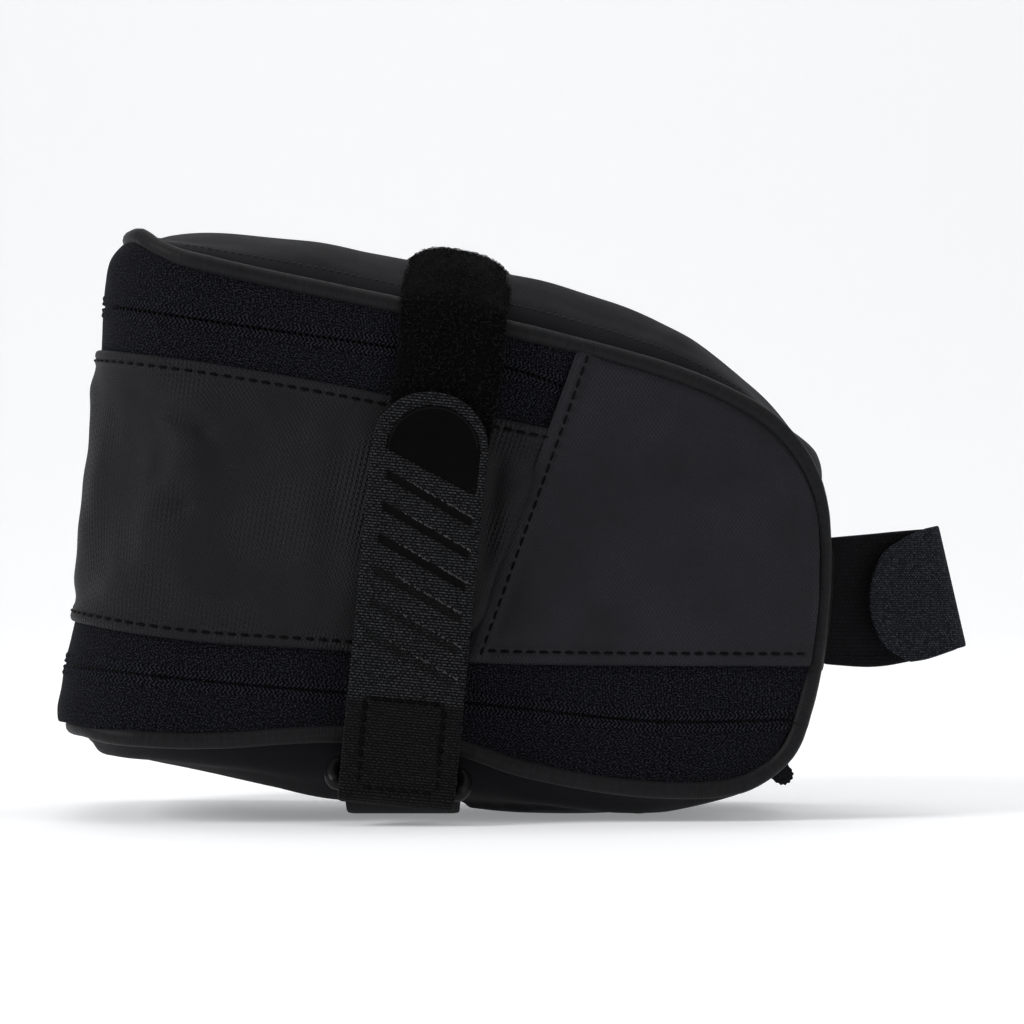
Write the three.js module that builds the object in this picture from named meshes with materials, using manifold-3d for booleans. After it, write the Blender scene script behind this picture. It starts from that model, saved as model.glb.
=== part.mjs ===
// Saddle bag: a sewn bag that hangs under a bicycle saddle. Millimetres, +Z up, +X towards the seatpost,
// -Y the side with the strap's free end. The side wall is a U of panels and zips round both sides and rear.
// A strip runs over the top, down the front and under the bottom, and a piping joins the two. Below the
// main zip, everything is a tray that swings down about a fold in the front panel.
import * as THREE from "three";
import { mergeVertices } from "three/addons/utils/BufferGeometryUtils.js";
import Module from "manifold-3d";

const wasm = await Module();
wasm.setup();

// Plan of the side wall
const HALF_WIDTH_REAR = 40;
const HALF_WIDTH_FRONT = 29;
const REAR_STATION = -77;
const FRONT_STATION = 65;
const CORNER_RADIUS = 20;
const REAR_TOP_X = -88.6;
const REAR_LEAN = 0.105;
const SIDE_BULGE = 2.4;
const REAR_TUCK = 2.3;
const TUCK_REACH = 10;

// Heights of the piping where it crosses the rear
const RIM_TOP = 128;
const RIM_BOTTOM = 21.6;

// Thicknesses and clearances
const PIPING_RADIUS = 2;
const RIM_GAP = 2.6;
const GAP = 0.3;
const PANEL = 1.6;
const TAPE = 0.8;
const FOAM = 2;
const FOAM_DEPTH = 2.4;
const BOARD = 1.8;
const COIL_WIDTH = 2;
const COIL_DEPTH = 1.5;

// Straps
const STRAP_WIDTH = 25;
const LOOP_WIDTH = 23;
const WEBBING = 1.4;
const STRAP_TILT = THREE.MathUtils.degToRad(5.5);
const HOOK_STRAP_TIP_Z = 95;
const HOOK_STRAP_X = -26.6;
const HOOK_STRAP_Y = -45.3;
const LOOP_STRAP_BOTTOM = 62;
const LOOP_PIVOT_Z = 100;
const LOOP_THICKNESS = 2.4;
const LOOP_TILT = THREE.MathUtils.degToRad(4);
const TOP_SLOPE = 0.17;
const ANCHOR_BOTTOM = 62;
const EYE_RADIUS = 2.1;
const EYE_WEBBING = 1.2;
const RING_BAR = 2.6;
const STRAP_BAR = { y: -43.8, z: 7.6 };
const TAB_BAR = { y: -38.9, z: 12.8 };

// Seatpost strap
const POST_GAP = 4.2;
const POST_BEND = 1;
const POST_FOLD_LEAN = THREE.MathUtils.degToRad(13.7);

// Webbing tab and zip sliders
const TAB_LENGTH = 4.6;
const TAB_THICKNESS = 3;
const TAB_WIDTH = 12;
const TAB_PITCH = THREE.MathUtils.degToRad(42);
const TAB_ROOT = { x: 58.9, z: 11.7 };
const SLIDER = 1.6;
const SLIDER_GAP = 0.6;
const BRIDGE = 2.6;
const BRIDGE_BAR = 0.9;
const PULL = 0.7;

// The piping on one side, as [x, z], from the rear top round the front to the rear bottom.
const RIM = [
  [-83.7, 128], [-78, 124.9], [-66, 121.9], [-28, 114.1], [4, 107.2], [34, 99], [46, 94], [55, 88.6],
  [61.5, 81.5], [65.3, 73.5], [66.5, 62], [65.2, 42.5], [61.3, 24], [58.3, 16], [53.5, 11], [46.5, 7.9],
  [26, 7.5], [1, 11.9], [-17, 17.6], [-42, 19.8], [-70, 18.5], [-92, 20.2], [-97, 21.6],
];
// The middle line of the strip, point for point with RIM.
const CROWN = [
  [-83.7, 129.6], [-78, 131.3], [-66, 131.9], [-28, 125.9], [4, 121.4], [36, 109], [48, 101], [58, 91.5],
  [64.8, 82], [67.8, 73], [68.9, 62], [67.6, 42.5], [63.7, 24], [60.6, 15.5], [55, 9], [47, 4.6],
  [27, 0], [1, 0], [-17, 1.9], [-42, 2.6], [-70, 8.6], [-92, 14.2], [-97, 17],
];
const TOP_SEAM = 7;
const FOLD_SEAM = 12.25;

// Heights of the side wall's edges, as [x, z]
const PANEL_TOP = [[-95, 105], [-47, 97.4], [8, 86.3]];
const PANEL_BOTTOM = [[-98, 44.6], [-74, 40.6], [-40, 38.2], [-10, 35.4], [12, 34.8], [62, 34.4]];
const MAIN_SLIT = [[-99, 34.8], [-65, 31.1], [-9, 26.3], [30, 22.3], [60, 22.6]];
const TOP_SLIT = [[-92, 114.6], [-74, 111.2], [-2, 100], [13, 94.6]];
const SEAM_FOOT = { x: -13.2, z: 34.5 };
const SEAM_HEAD = { x: 12.4, z: 102.3 };

const CLOTH = { roughness: 0.75, metalness: 0 };
const MATERIALS = {
  laminate: new THREE.MeshStandardMaterial({ color: 0x1d1e20, ...CLOTH }),
  zip_tape: new THREE.MeshStandardMaterial({ color: 0x101218, ...CLOTH }),
  piping: new THREE.MeshStandardMaterial({ color: 0x222325, roughness: 0.6, metalness: 0 }),
  coil: new THREE.MeshStandardMaterial({ color: 0x0c0c0e, roughness: 0.4, metalness: 0 }),
  pile: new THREE.MeshStandardMaterial({ color: 0x08080a, roughness: 1, metalness: 0 }),
  hooks: new THREE.MeshStandardMaterial({ color: 0x0e0e10, roughness: 0.6, metalness: 0 }),
  webbing: new THREE.MeshStandardMaterial({ color: 0x202124, ...CLOTH }),
  grip: new THREE.MeshStandardMaterial({ color: 0x060607, roughness: 0.15, metalness: 0 }),
  plastic: new THREE.MeshStandardMaterial({ color: 0x141416, roughness: 0.35, metalness: 0 }),
  metal: new THREE.MeshStandardMaterial({ color: 0x2a2a2d, roughness: 0.35, metalness: 0.9 }),
  foam: new THREE.MeshStandardMaterial({ color: 0x3a3a3c, roughness: 0.95, metalness: 0 }),
};

const bag = new THREE.Group();

function add(name, slot, geometry) {
  const mesh = new THREE.Mesh(geometry, MATERIALS[slot]);
  mesh.name = name;
  bag.add(mesh);
  return mesh;
}

// ---- curves ----

function splineOf(points) {
  return new THREE.CatmullRomCurve3(points.map(([x, z]) => new THREE.Vector3(x, 0, z)));
}

const rimCurve = splineOf(RIM);
const crownCurve = splineOf(CROWN);
const LAST = RIM.length - 1;

// A point of a strip curve at a seam number, which counts the points of RIM.
function onCurve(curve, seam) {
  return curve.getPoint(THREE.MathUtils.clamp(seam / LAST, 0, 1));
}

function tangentAt(curve, seam) {
  return curve.getTangent(THREE.MathUtils.clamp(seam / LAST, 0, 1));
}

// Straight-line interpolation in a list of [x, z] that is sorted by x.
function heightAt(list, x) {
  if (x <= list[0][0]) return list[0][1];
  for (let i = 1; i < list.length; i++) {
    if (x > list[i][0]) continue;
    const [x0, z0] = list[i - 1];
    const [x1, z1] = list[i];
    return z0 + ((z1 - z0) * (x - x0)) / (x1 - x0);
  }
  return list[list.length - 1][1];
}

// A smooth height line through a few points, sampled for heightAt.
function smoothLine(points) {
  return splineOf(points).getPoints(40).map((p) => [p.x, p.z]);
}

// The rim moved inwards by a distance, as its top branch and its bottom branch, each sorted by x.
function insetRim(distance) {
  const samples = [];
  for (let seam = 0; seam <= LAST; seam += 0.1) {
    const p = onCurve(rimCurve, seam);
    const along = tangentAt(rimCurve, seam);
    samples.push([p.x + along.z * distance, p.z - along.x * distance]);
  }
  const nose = samples.reduce((best, s, i) => (s[0] > samples[best][0] ? i : best), 0);
  return { top: samples.slice(0, nose + 1), bottom: samples.slice(nose).reverse(), nose: samples[nose][0] };
}

const rimLine = insetRim(0);
const rimInset = insetRim(RIM_GAP);
const panelTop = smoothLine(PANEL_TOP);
const panelBottom = smoothLine(PANEL_BOTTOM);
const mainSlit = smoothLine(MAIN_SLIT);
const topSlit = smoothLine(TOP_SLIT);

const wallTop = (x) => Math.min(heightAt(rimInset.top, x), RIM_TOP - RIM_GAP);
const rearBottom = (x) => (x < REAR_STATION ? RIM_BOTTOM + RIM_GAP : 0);
const wallBottom = (x) => Math.max(heightAt(rimInset.bottom, x), rearBottom(x));
const SEAM_SLOPE = (SEAM_HEAD.x - SEAM_FOOT.x) / (SEAM_HEAD.z - SEAM_FOOT.z);
const seamX = (z) => SEAM_FOOT.x + SEAM_SLOPE * (z - SEAM_FOOT.z);

// ---- plan of the side wall ----

const TAPER = (HALF_WIDTH_FRONT - HALF_WIDTH_REAR) / (FRONT_STATION - REAR_STATION);
const TAPER_ANGLE = Math.atan(-TAPER);
const REAR_SHARE = 0.13;
const CORNER_SHARE = 0.3;

const halfWidth = (x) => HALF_WIDTH_REAR + TAPER * (x - REAR_STATION);
const rearX = (z) => REAR_TOP_X - REAR_LEAN * (RIM_TOP - z);

// Centre of the rear corner's arc at a height.
function cornerAt(z) {
  const x = rearX(z) + CORNER_RADIUS;
  const y = halfWidth(x + CORNER_RADIUS * Math.sin(TAPER_ANGLE)) - CORNER_RADIUS * Math.cos(TAPER_ANGLE);
  return { x, y };
}

// The wall's base line at station t, from -1 at the front of the -Y side, by 0 at the rear, to 1. It gives
// the point, the outward normal and how much the place belongs to a side rather than to the rear.
function plan(t, z, frontX) {
  const share = Math.abs(t);
  const side = Math.sign(t) || 1;
  const corner = cornerAt(z);
  const turn = THREE.MathUtils.clamp((share - REAR_SHARE) / (CORNER_SHARE - REAR_SHARE), 0, 1);
  const angle = turn * (Math.PI / 2 + TAPER_ANGLE);
  const normal = new THREE.Vector3(-Math.cos(angle), side * Math.sin(angle), 0);
  const point = new THREE.Vector3(corner.x, side * corner.y, z).addScaledVector(normal, CORNER_RADIUS);
  if (share < REAR_SHARE) point.y = (side * corner.y * share) / REAR_SHARE;
  if (share > CORNER_SHARE) {
    point.x = THREE.MathUtils.lerp(point.x, frontX, (share - CORNER_SHARE) / (1 - CORNER_SHARE));
    point.y = side * halfWidth(point.x);
  }
  return { point, normal, sideness: THREE.MathUtils.smoothstep(turn, 0, 1) };
}

// How far the wall stands out of its base line: the sides belly out, and the rear tucks in under the piping.
function bulge(x, z, sideness) {
  const top = x < REAR_STATION ? RIM_TOP : heightAt(rimLine.top, x);
  const bottom = heightAt(rimLine.bottom, x);
  const q = THREE.MathUtils.clamp((2 * (z - bottom)) / (top - bottom) - 1, -1, 1);
  const tuck = Math.max(0, 1 - (top - z) / TUCK_REACH) ** 2;
  return sideness * SIDE_BULGE * (1 - q * q) - (1 - sideness) * REAR_TUCK * tuck;
}

// A point of the side wall at station t and share v of the height between two edge lines, moved out by
// offset. front(z, v) gives the x where the piece ends at the front.
function wallPoint(t, v, lower, upper, front, offset) {
  let z = THREE.MathUtils.lerp(lower(-REAR_STATION), upper(-REAR_STATION), v);
  let x = 0;
  for (let i = 0; i < 8; i++) {
    x = plan(t, z, front(z, v)).point.x;
    z = THREE.MathUtils.lerp(lower(x), upper(x), v);
  }
  const { point, normal, sideness } = plan(t, z, front(z, v));
  return point.addScaledVector(normal, bulge(x, z, sideness) + offset);
}

// A point of the straight part of the side wall at x and z, moved out by offset.
function sidePoint(x, z, offset, side) {
  const out = bulge(x, z, 1) + offset;
  const y = halfWidth(x) + out * Math.cos(TAPER_ANGLE);
  return new THREE.Vector3(x + out * Math.sin(TAPER_ANGLE), side * y, z);
}

function steps(from, to, count) {
  return Array.from({ length: count }, (_, i) => from + ((to - from) * i) / count);
}

const HALF_STATIONS = [...steps(1, CORNER_SHARE, 8), ...steps(CORNER_SHARE, REAR_SHARE, 5), REAR_SHARE];
const STATIONS = [...HALF_STATIONS.map((t) => -t), 0, ...HALF_STATIONS.toReversed()];

// ---- solids ----

function geometryOf(positions, index) {
  const geometry = new THREE.BufferGeometry();
  geometry.setAttribute("position", new THREE.Float32BufferAttribute(positions, 3));
  geometry.setIndex(index);
  return geometry;
}

// Six times the signed volume of an indexed geometry.
function signedVolume(positions, index) {
  const [a, b, c] = [new THREE.Vector3(), new THREE.Vector3(), new THREE.Vector3()];
  let sum = 0;
  for (let i = 0; i < index.length; i += 3) {
    a.fromArray(positions, 3 * index[i]);
    b.fromArray(positions, 3 * index[i + 1]);
    c.fromArray(positions, 3 * index[i + 2]);
    sum += a.dot(b.cross(c));
  }
  return sum;
}

// A closed sheet between two skins, each a function of (u, v) that gives a Vector3, on a grid of us by vs.
function sheet(us, vs, outer, inner) {
  const positions = [];
  const index = [];
  for (const skin of [outer, inner]) {
    for (const u of us) {
      for (const v of vs) positions.push(...skin(u, v).toArray());
    }
  }
  const at = (side, i, j) => (side * us.length + i) * vs.length + j;
  const quad = (a, b, c, d) => index.push(a, b, c, a, c, d);
  const [lastU, lastV] = [us.length - 1, vs.length - 1];
  for (let i = 0; i < lastU; i++) {
    for (let j = 0; j < lastV; j++) {
      quad(at(0, i, j), at(0, i + 1, j), at(0, i + 1, j + 1), at(0, i, j + 1));
      quad(at(1, i, j), at(1, i, j + 1), at(1, i + 1, j + 1), at(1, i + 1, j));
    }
    quad(at(0, i, 0), at(1, i, 0), at(1, i + 1, 0), at(0, i + 1, 0));
    quad(at(0, i, lastV), at(0, i + 1, lastV), at(1, i + 1, lastV), at(1, i, lastV));
  }
  for (let j = 0; j < lastV; j++) {
    quad(at(0, 0, j), at(0, 0, j + 1), at(1, 0, j + 1), at(1, 0, j));
    quad(at(0, lastU, j), at(1, lastU, j), at(1, lastU, j + 1), at(0, lastU, j + 1));
  }
  if (signedVolume(positions, index) < 0) index.reverse();
  return geometryOf(positions, index);
}

const evenly = (from, to, count) => [...steps(from, to, count), to];

// A sheet of the side wall between two edge lines.
function band(lower, upper, front, inside, outside, rows, stations = STATIONS) {
  const skin = (offset) => (t, v) => wallPoint(t, v, lower, upper, front, offset);
  return sheet(stations, evenly(0, 1, rows), skin(outside), skin(inside));
}

function tube(points, radius, stepCount) {
  const circle = new THREE.Shape();
  circle.absarc(0, 0, radius, 0, 2 * Math.PI);
  const path = new THREE.CatmullRomCurve3(points);
  return new THREE.ExtrudeGeometry(circle, { steps: stepCount, curveSegments: 4, extrudePath: path });
}

function solidOf(geometry) {
  const plain = geometry.clone();
  plain.deleteAttribute("normal");
  plain.deleteAttribute("uv");
  const merged = mergeVertices(plain, 1e-3);
  const mesh = new wasm.Mesh({
    numProp: 3,
    vertProperties: new Float32Array(merged.attributes.position.array),
    triVerts: new Uint32Array(merged.index.array),
  });
  return new wasm.Manifold(mesh);
}

function geometryFrom(solid) {
  const mesh = solid.getMesh();
  return geometryOf(Array.from(mesh.vertProperties), Array.from(mesh.triVerts));
}

// An outline in the XZ plane, given thickness from y0 towards +Y.
function plateXZ(shape, y0, thickness) {
  const plate = new THREE.ExtrudeGeometry(shape, { depth: thickness, bevelEnabled: false, curveSegments: 8 });
  return plate.rotateX(Math.PI / 2).translate(0, y0 + thickness, 0);
}

// An outline in the YZ plane, centred on x with a width along X.
function plateYZ(shape, x, width) {
  const plate = new THREE.ExtrudeGeometry(shape, { depth: width, bevelEnabled: false, curveSegments: 8 });
  return plate.rotateX(Math.PI / 2).rotateZ(Math.PI / 2).translate(x - width / 2, 0, 0);
}

// An outline in the XY plane, given thickness up from z0.
function plateXY(shape, z0, thickness) {
  const plate = new THREE.ExtrudeGeometry(shape, { depth: thickness, bevelEnabled: false, curveSegments: 8 });
  return plate.translate(0, 0, z0);
}

const toVector = ([x, y]) => new THREE.Vector2(x, y);

function polygon(points) {
  return new THREE.Shape(points.map(toVector));
}

// A rectangle with a half-round end towards +y.
function tongue(width, bottom, top) {
  const shape = new THREE.Shape();
  shape.moveTo(-width / 2, bottom);
  shape.lineTo(width / 2, bottom);
  shape.absarc(0, top - width / 2, width / 2, 0, Math.PI);
  return shape;
}

// A flat ribbon that follows a line of [a, b] points, as an outline of constant thickness.
function ribbon(points, thickness) {
  const [left, right] = [[], []];
  points.forEach(([a, b], i) => {
    const [a0, b0] = points[Math.max(i - 1, 0)];
    const [a1, b1] = points[Math.min(i + 1, points.length - 1)];
    const length = Math.hypot(a1 - a0, b1 - b0);
    const [na, nb] = [-(b1 - b0) / length, (a1 - a0) / length];
    left.push([a + (na * thickness) / 2, b + (nb * thickness) / 2]);
    right.push([a - (na * thickness) / 2, b - (nb * thickness) / 2]);
  });
  return polygon([...left, ...right.reverse()]);
}

// A round eye of webbing about a bar along X.
function eye(bar, x, width) {
  const shape = new THREE.Shape();
  shape.absarc(bar.y, bar.z, EYE_RADIUS + EYE_WEBBING, 0, 2 * Math.PI);
  const hole = new THREE.Path();
  hole.absarc(bar.y, bar.z, EYE_RADIUS, 0, 2 * Math.PI);
  shape.holes.push(hole);
  return plateYZ(shape, x, width);
}

function barHole(bar, x, width) {
  const shape = new THREE.Shape();
  shape.absarc(bar.y, bar.z, EYE_RADIUS, 0, 2 * Math.PI);
  return plateYZ(shape, x, width);
}

// ---- side wall ----

function sideWall() {
  const toSeam = (z) => seamX(z) - 2 * GAP;
  const gap = GAP / 2;
  const top = (x) => heightAt(panelTop, x);
  const bottom = (x) => heightAt(panelBottom, x);
  const slit = (x) => heightAt(mainSlit, x);
  const high = (x) => heightAt(topSlit, x);
  const up = (line, d) => (x) => line(x) + d;
  const upperNose = (z, v) => THREE.MathUtils.lerp(58.6, 60.8, v);
  const lowerNose = (z, v) => THREE.MathUtils.lerp(53.4, 58.6, v);

  add("main_panel", "laminate", band(up(bottom, gap), up(top, -gap), toSeam, 0, PANEL, 4));
  add("top_zip_tape_upper", "zip_tape", band(up(high, gap), wallTop, toSeam, 0, TAPE, 2));
  add("top_zip_tape_lower", "zip_tape", band(up(top, gap), up(high, -gap), toSeam, 0, TAPE, 1));
  add("main_zip_tape_upper", "zip_tape", band(up(slit, gap), up(bottom, -gap), upperNose, 0, TAPE, 1));
  add("main_zip_tape_lower", "zip_tape", band(wallBottom, up(slit, -gap), lowerNose, 0, TAPE, 2));

  const coil = (line, side, front) => {
    const near = up(line, side * gap);
    const far = up(line, side * (gap + COIL_WIDTH));
    return band(near, far, front, -GAP - COIL_DEPTH, -GAP, 1);
  };
  const shortOfSeam = (z) => toSeam(z) - 2;
  const shortOfNose = () => 55;
  add("top_zip_coil_upper", "coil", coil(high, 1, shortOfSeam));
  add("top_zip_coil_lower", "coil", coil(high, -1, shortOfSeam));
  add("main_zip_coil_upper", "coil", coil(slit, 1, shortOfNose));
  add("main_zip_coil_lower", "coil", coil(slit, -1, shortOfNose));

  const foamFront = (z) => seamX(z) - 3;
  const foam = band(up(bottom, 3), up(top, -3), foamFront, -FOAM_DEPTH, -FOAM_DEPTH + FOAM, 2);
  add("side_foam", "foam", foam);
}

// The trapezoid in front of the slanted seam, one for each side.
function frontSidePanel(side) {
  const skin = (offset) => (u, v) => {
    const footX = THREE.MathUtils.lerp(SEAM_FOOT.x, rimInset.nose - 0.5, u);
    const headX = THREE.MathUtils.lerp(SEAM_HEAD.x, rimInset.nose - 0.5, u);
    const foot = Math.max(heightAt(rimInset.bottom, footX), heightAt(panelBottom, footX) + GAP / 2);
    const head = wallTop(headX);
    const x = THREE.MathUtils.lerp(footX, headX, v);
    const z = THREE.MathUtils.lerp(foot, head, v);
    return sidePoint(x, z, offset, side);
  };
  const denserAhead = evenly(0, 1, 9).map((w) => 1 - (1 - w) ** 1.9);
  return sheet(denserAhead, evenly(0, 1, 5), skin(PANEL), skin(0));
}

// ---- strip over the top, front and bottom ----

// Half-width of the strip at x, inside the piping, for a rear corner arc pulled in by tuck.
function stripHalfWidth(x, z, tuck) {
  const corner = cornerAt(z);
  const radius = CORNER_RADIUS - tuck - RIM_GAP;
  const wide = halfWidth(x) - RIM_GAP;
  if (x > corner.x) return wide;
  return Math.min(wide, corner.y + Math.sqrt(Math.max(0, radius ** 2 - (corner.x - x) ** 2)));
}

// Share of the way from the rim line to the crown line, across the strip: full in the middle, none at the rim.
function crownShare(v) {
  return Math.min(1, 1.1 * (1 - v * v) ** 0.62);
}

// A point of the strip at a seam number and v across it, from -1 to 1, moved in by depth.
function stripPoint(seam, v, tuck, depth) {
  const rim = onCurve(rimCurve, seam);
  const crown = onCurve(crownCurve, seam);
  const share = crownShare(v);
  const point = rim.clone().lerp(crown, share);
  const along = tangentAt(crownCurve, seam);
  point.y = v * stripHalfWidth(rim.x, rim.z, tuck);
  point.z = Math.max(point.z, 0);
  point.x += along.z * depth;
  point.z -= along.x * depth;
  point.y -= Math.sign(v) * depth * (1 - share) * 0.6;
  return point;
}

const ACROSS = [-1, -0.93, -0.8, -0.55, -0.25, 0.25, 0.55, 0.8, 0.93, 1];

// A sheet of the strip at a list of seam numbers, between two depths, over a share of the strip's width.
function strip(seams, tuck, depths, share = 1) {
  const skin = (depth) => (seam, v) => stripPoint(seam, v * share, tuck, depth);
  return sheet(seams, ACROSS, skin(depths[0]), skin(depths[1]));
}

function coverStrip() {
  const skin = [0, PANEL];
  const top = [...steps(0, 1, 4), ...evenly(1, TOP_SEAM - 0.04, 12)];
  const bottom = [...steps(FOLD_SEAM + 0.14, LAST - 1, 20), ...evenly(LAST - 1, LAST, 3)];
  add("top_panel", "laminate", strip(top, REAR_TUCK, skin));
  add("front_panel", "laminate", strip(evenly(TOP_SEAM + 0.04, FOLD_SEAM - 0.03, 10), 0, skin));
  add("bottom_panel", "laminate", strip(bottom, 0, skin));
  const board = [PANEL + 1.1, PANEL + 1.1 + BOARD];
  add("bottom_stiffener", "foam", strip(evenly(16, 20, 8), 0, board, 0.55));
  const patch = [-GAP - WEBBING, -GAP];
  add("post_strap_patch", "webbing", strip(evenly(10.15, 11.5, 3), 0, patch, 0.4));
}

// ---- piping ----

// The piping's path from the fold on one side, round the rear and back to the fold on the other.
function pipingPath(fromSeam, toSeam, height, tuckIn) {
  const near = [];
  const corner = cornerAt(height(REAR_STATION));
  const cornerX = corner.x + CORNER_RADIUS * Math.sin(TAPER_ANGLE);
  const count = 26;
  for (let i = 0; i <= count; i++) {
    const p = onCurve(rimCurve, THREE.MathUtils.lerp(fromSeam, toSeam, i / count));
    if (p.x < cornerX + 2) break;
    near.push(new THREE.Vector3(p.x, -halfWidth(p.x), p.z));
  }
  for (const t of [-CORNER_SHARE, ...evenly(-CORNER_SHARE, -REAR_SHARE, 5).slice(1)]) {
    const first = plan(t, height(REAR_STATION), cornerX);
    const { point, normal, sideness } = plan(t, height(first.point.x), cornerX);
    point.z = height(point.x);
    near.push(point.addScaledVector(normal, -(1 - sideness) * tuckIn));
  }
  const far = near.map((p) => new THREE.Vector3(p.x, -p.y, p.z)).reverse();
  return [...near, ...far];
}

function piping() {
  const top = (x) => (x < RIM[0][0] ? RIM_TOP : heightAt(rimLine.top, x));
  const bottom = (x) => heightAt(rimLine.bottom, x);
  const foldGap = 0.1;
  const upper = pipingPath(FOLD_SEAM - foldGap, 0, top, REAR_TUCK);
  const lower = pipingPath(FOLD_SEAM + foldGap, LAST, bottom, 0);
  add("piping_upper", "piping", tube(upper, PIPING_RADIUS, 72));
  add("piping_lower", "piping", tube(lower, PIPING_RADIUS, 66));
}

// ---- strap round the bag ----

// The strap over the top, from its pivot on the +Y side over the saddle rails' place to its end on the -Y side.
const OVER_TOP = [
  [33, 116.8], [26, 120.6], [14, 124.3], [0, 125.3], [-14, 124.3], [-26, 120.6], [-33, 116.8],
];
const LOOP_LINE = [
  [43, LOOP_PIVOT_Z + 0.5], [42.8, 103], [41.6, 107.5], [38.6, 113], ...OVER_TOP,
  [-38.1, 113], [-39.9, 107.5], [-41, 100], [-41.3, 85], [-41.3, LOOP_STRAP_BOTTOM],
];
const ANCHOR_LINE = [[41.2, ANCHOR_BOTTOM], [41.4, 79], [43, 90], [43, LOOP_PIVOT_Z - GAP]];
const loopStrapX = (z) => -16.2 + (z - 91) * Math.tan(LOOP_TILT);

// A strap that follows a line of [y, z] points, as wide as the loop strap.
function strapAlong(points, count) {
  const line = new THREE.CatmullRomCurve3(points.map(([y, z]) => new THREE.Vector3(0, y, z)));
  const skin = (offset) => (u, v) => {
    const p = line.getPoint(u);
    const along = line.getTangent(u);
    const x = loopStrapX(p.z) + v * LOOP_WIDTH;
    const roll = -TOP_SLOPE * v * LOOP_WIDTH * THREE.MathUtils.smoothstep(p.z, 100, 112);
    return new THREE.Vector3(x, p.y + along.z * offset, p.z - along.y * offset + roll);
  };
  return sheet(evenly(0, 1, count), [-0.5, 0.5], skin(LOOP_THICKNESS), skin(0));
}

// Turns a geometry that was made upright about the tab's bar into the strap's lean.
function lean(geometry) {
  geometry.translate(0, 0, -TAB_BAR.z);
  geometry.rotateY(STRAP_TILT);
  return geometry.translate(HOOK_STRAP_X, 0, TAB_BAR.z);
}

function hookStrap() {
  const outline = plateXZ(tongue(STRAP_WIDTH, STRAP_BAR.z - 6, HOOK_STRAP_TIP_Z), -50, 20);
  const slab = polygon([
    [HOOK_STRAP_Y, STRAP_BAR.z + 2.4], [HOOK_STRAP_Y, HOOK_STRAP_TIP_Z + 1],
    [HOOK_STRAP_Y - WEBBING, HOOK_STRAP_TIP_Z + 1], [HOOK_STRAP_Y - WEBBING, STRAP_BAR.z],
    [HOOK_STRAP_Y - WEBBING + 0.8, STRAP_BAR.z],
  ]);
  const turnedBack = ribbon([[-43.8, 10.4], [-44.7, 13], [-44.9, 16], [-44.9, 25]], WEBBING);
  const solid = solidOf(plateYZ(slab, 0, STRAP_WIDTH))
    .add(solidOf(plateYZ(turnedBack, 0, STRAP_WIDTH)))
    .add(solidOf(eye(STRAP_BAR, 0, STRAP_WIDTH)))
    .subtract(solidOf(barHole(STRAP_BAR, 0, STRAP_WIDTH + 1)))
    .intersect(solidOf(outline));
  return lean(geometryFrom(solid));
}

function hookPad() {
  const pad = tongue(STRAP_WIDTH - 3, 27, HOOK_STRAP_TIP_Z - 3);
  return lean(plateXZ(pad, HOOK_STRAP_Y + GAP, 0.8));
}

function gripPatch() {
  const radius = 10.2;
  const [x, z] = [0.8, HOOK_STRAP_TIP_Z - 13.2];
  const slant = 8.6;
  const shape = new THREE.Shape();
  shape.moveTo(x - radius, z);
  shape.lineTo(x + radius, z - slant);
  shape.absarc(x, z, radius, 0, Math.PI);
  return lean(plateXZ(shape, HOOK_STRAP_Y - WEBBING - GAP - 0.4, 0.4));
}

function roundedRectangle(width, height, radius, path) {
  const [x, y] = [width / 2 - radius, height / 2 - radius];
  path.absarc(x, y, radius, 0, Math.PI / 2);
  path.absarc(-x, y, radius, Math.PI / 2, Math.PI);
  path.absarc(-x, -y, radius, Math.PI, 1.5 * Math.PI);
  path.absarc(x, -y, radius, 1.5 * Math.PI, 2 * Math.PI);
  return path;
}

function strapRing() {
  const [dy, dz] = [TAB_BAR.y - STRAP_BAR.y, TAB_BAR.z - STRAP_BAR.z];
  const pitch = Math.hypot(dy, dz);
  const slotWidth = STRAP_WIDTH + 1.6;
  const shape = roundedRectangle(slotWidth + 2 * RING_BAR, pitch + RING_BAR, 2.4, new THREE.Shape());
  shape.holes.push(roundedRectangle(slotWidth, pitch - RING_BAR, 0.8, new THREE.Path()));
  const ring = plateXY(shape, -RING_BAR / 2, RING_BAR).rotateX(Math.atan2(dz, dy));
  return lean(ring.translate(0, (TAB_BAR.y + STRAP_BAR.y) / 2, (TAB_BAR.z + STRAP_BAR.z) / 2));
}

// The strap sewn under the bag, which ends in the eye round the ring's inner bar.
function ringTab() {
  const half = WEBBING / 2;
  const line = [
    [29.5, 9.6], [25.5, 6.2], [18.4, 2.7], [8.4, half], [-8.4, half], [-18.4, 2.5], [-26, 6], [-32, 9],
    [-37, 10.7],
  ];
  const eyeSolid = solidOf(lean(eye(TAB_BAR, 0, STRAP_WIDTH)));
  const hole = solidOf(lean(barHole(TAB_BAR, 0, STRAP_WIDTH + 3)));
  const under = solidOf(plateYZ(ribbon(line, WEBBING), HOOK_STRAP_X, STRAP_WIDTH));
  return geometryFrom(under.add(eyeSolid).subtract(hole));
}

function wrapStrap() {
  add("rail_loop_strap", "pile", strapAlong(LOOP_LINE, 34));
  add("loop_strap_anchor", "pile", strapAlong(ANCHOR_LINE, 8));
  add("hook_strap", "webbing", hookStrap());
  add("hook_pad", "hooks", hookPad());
  add("grip_patch", "grip", gripPatch());
  add("strap_ring", "plastic", strapRing());
  add("ring_tab", "webbing", ringTab());
}

// ---- seatpost strap ----

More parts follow.
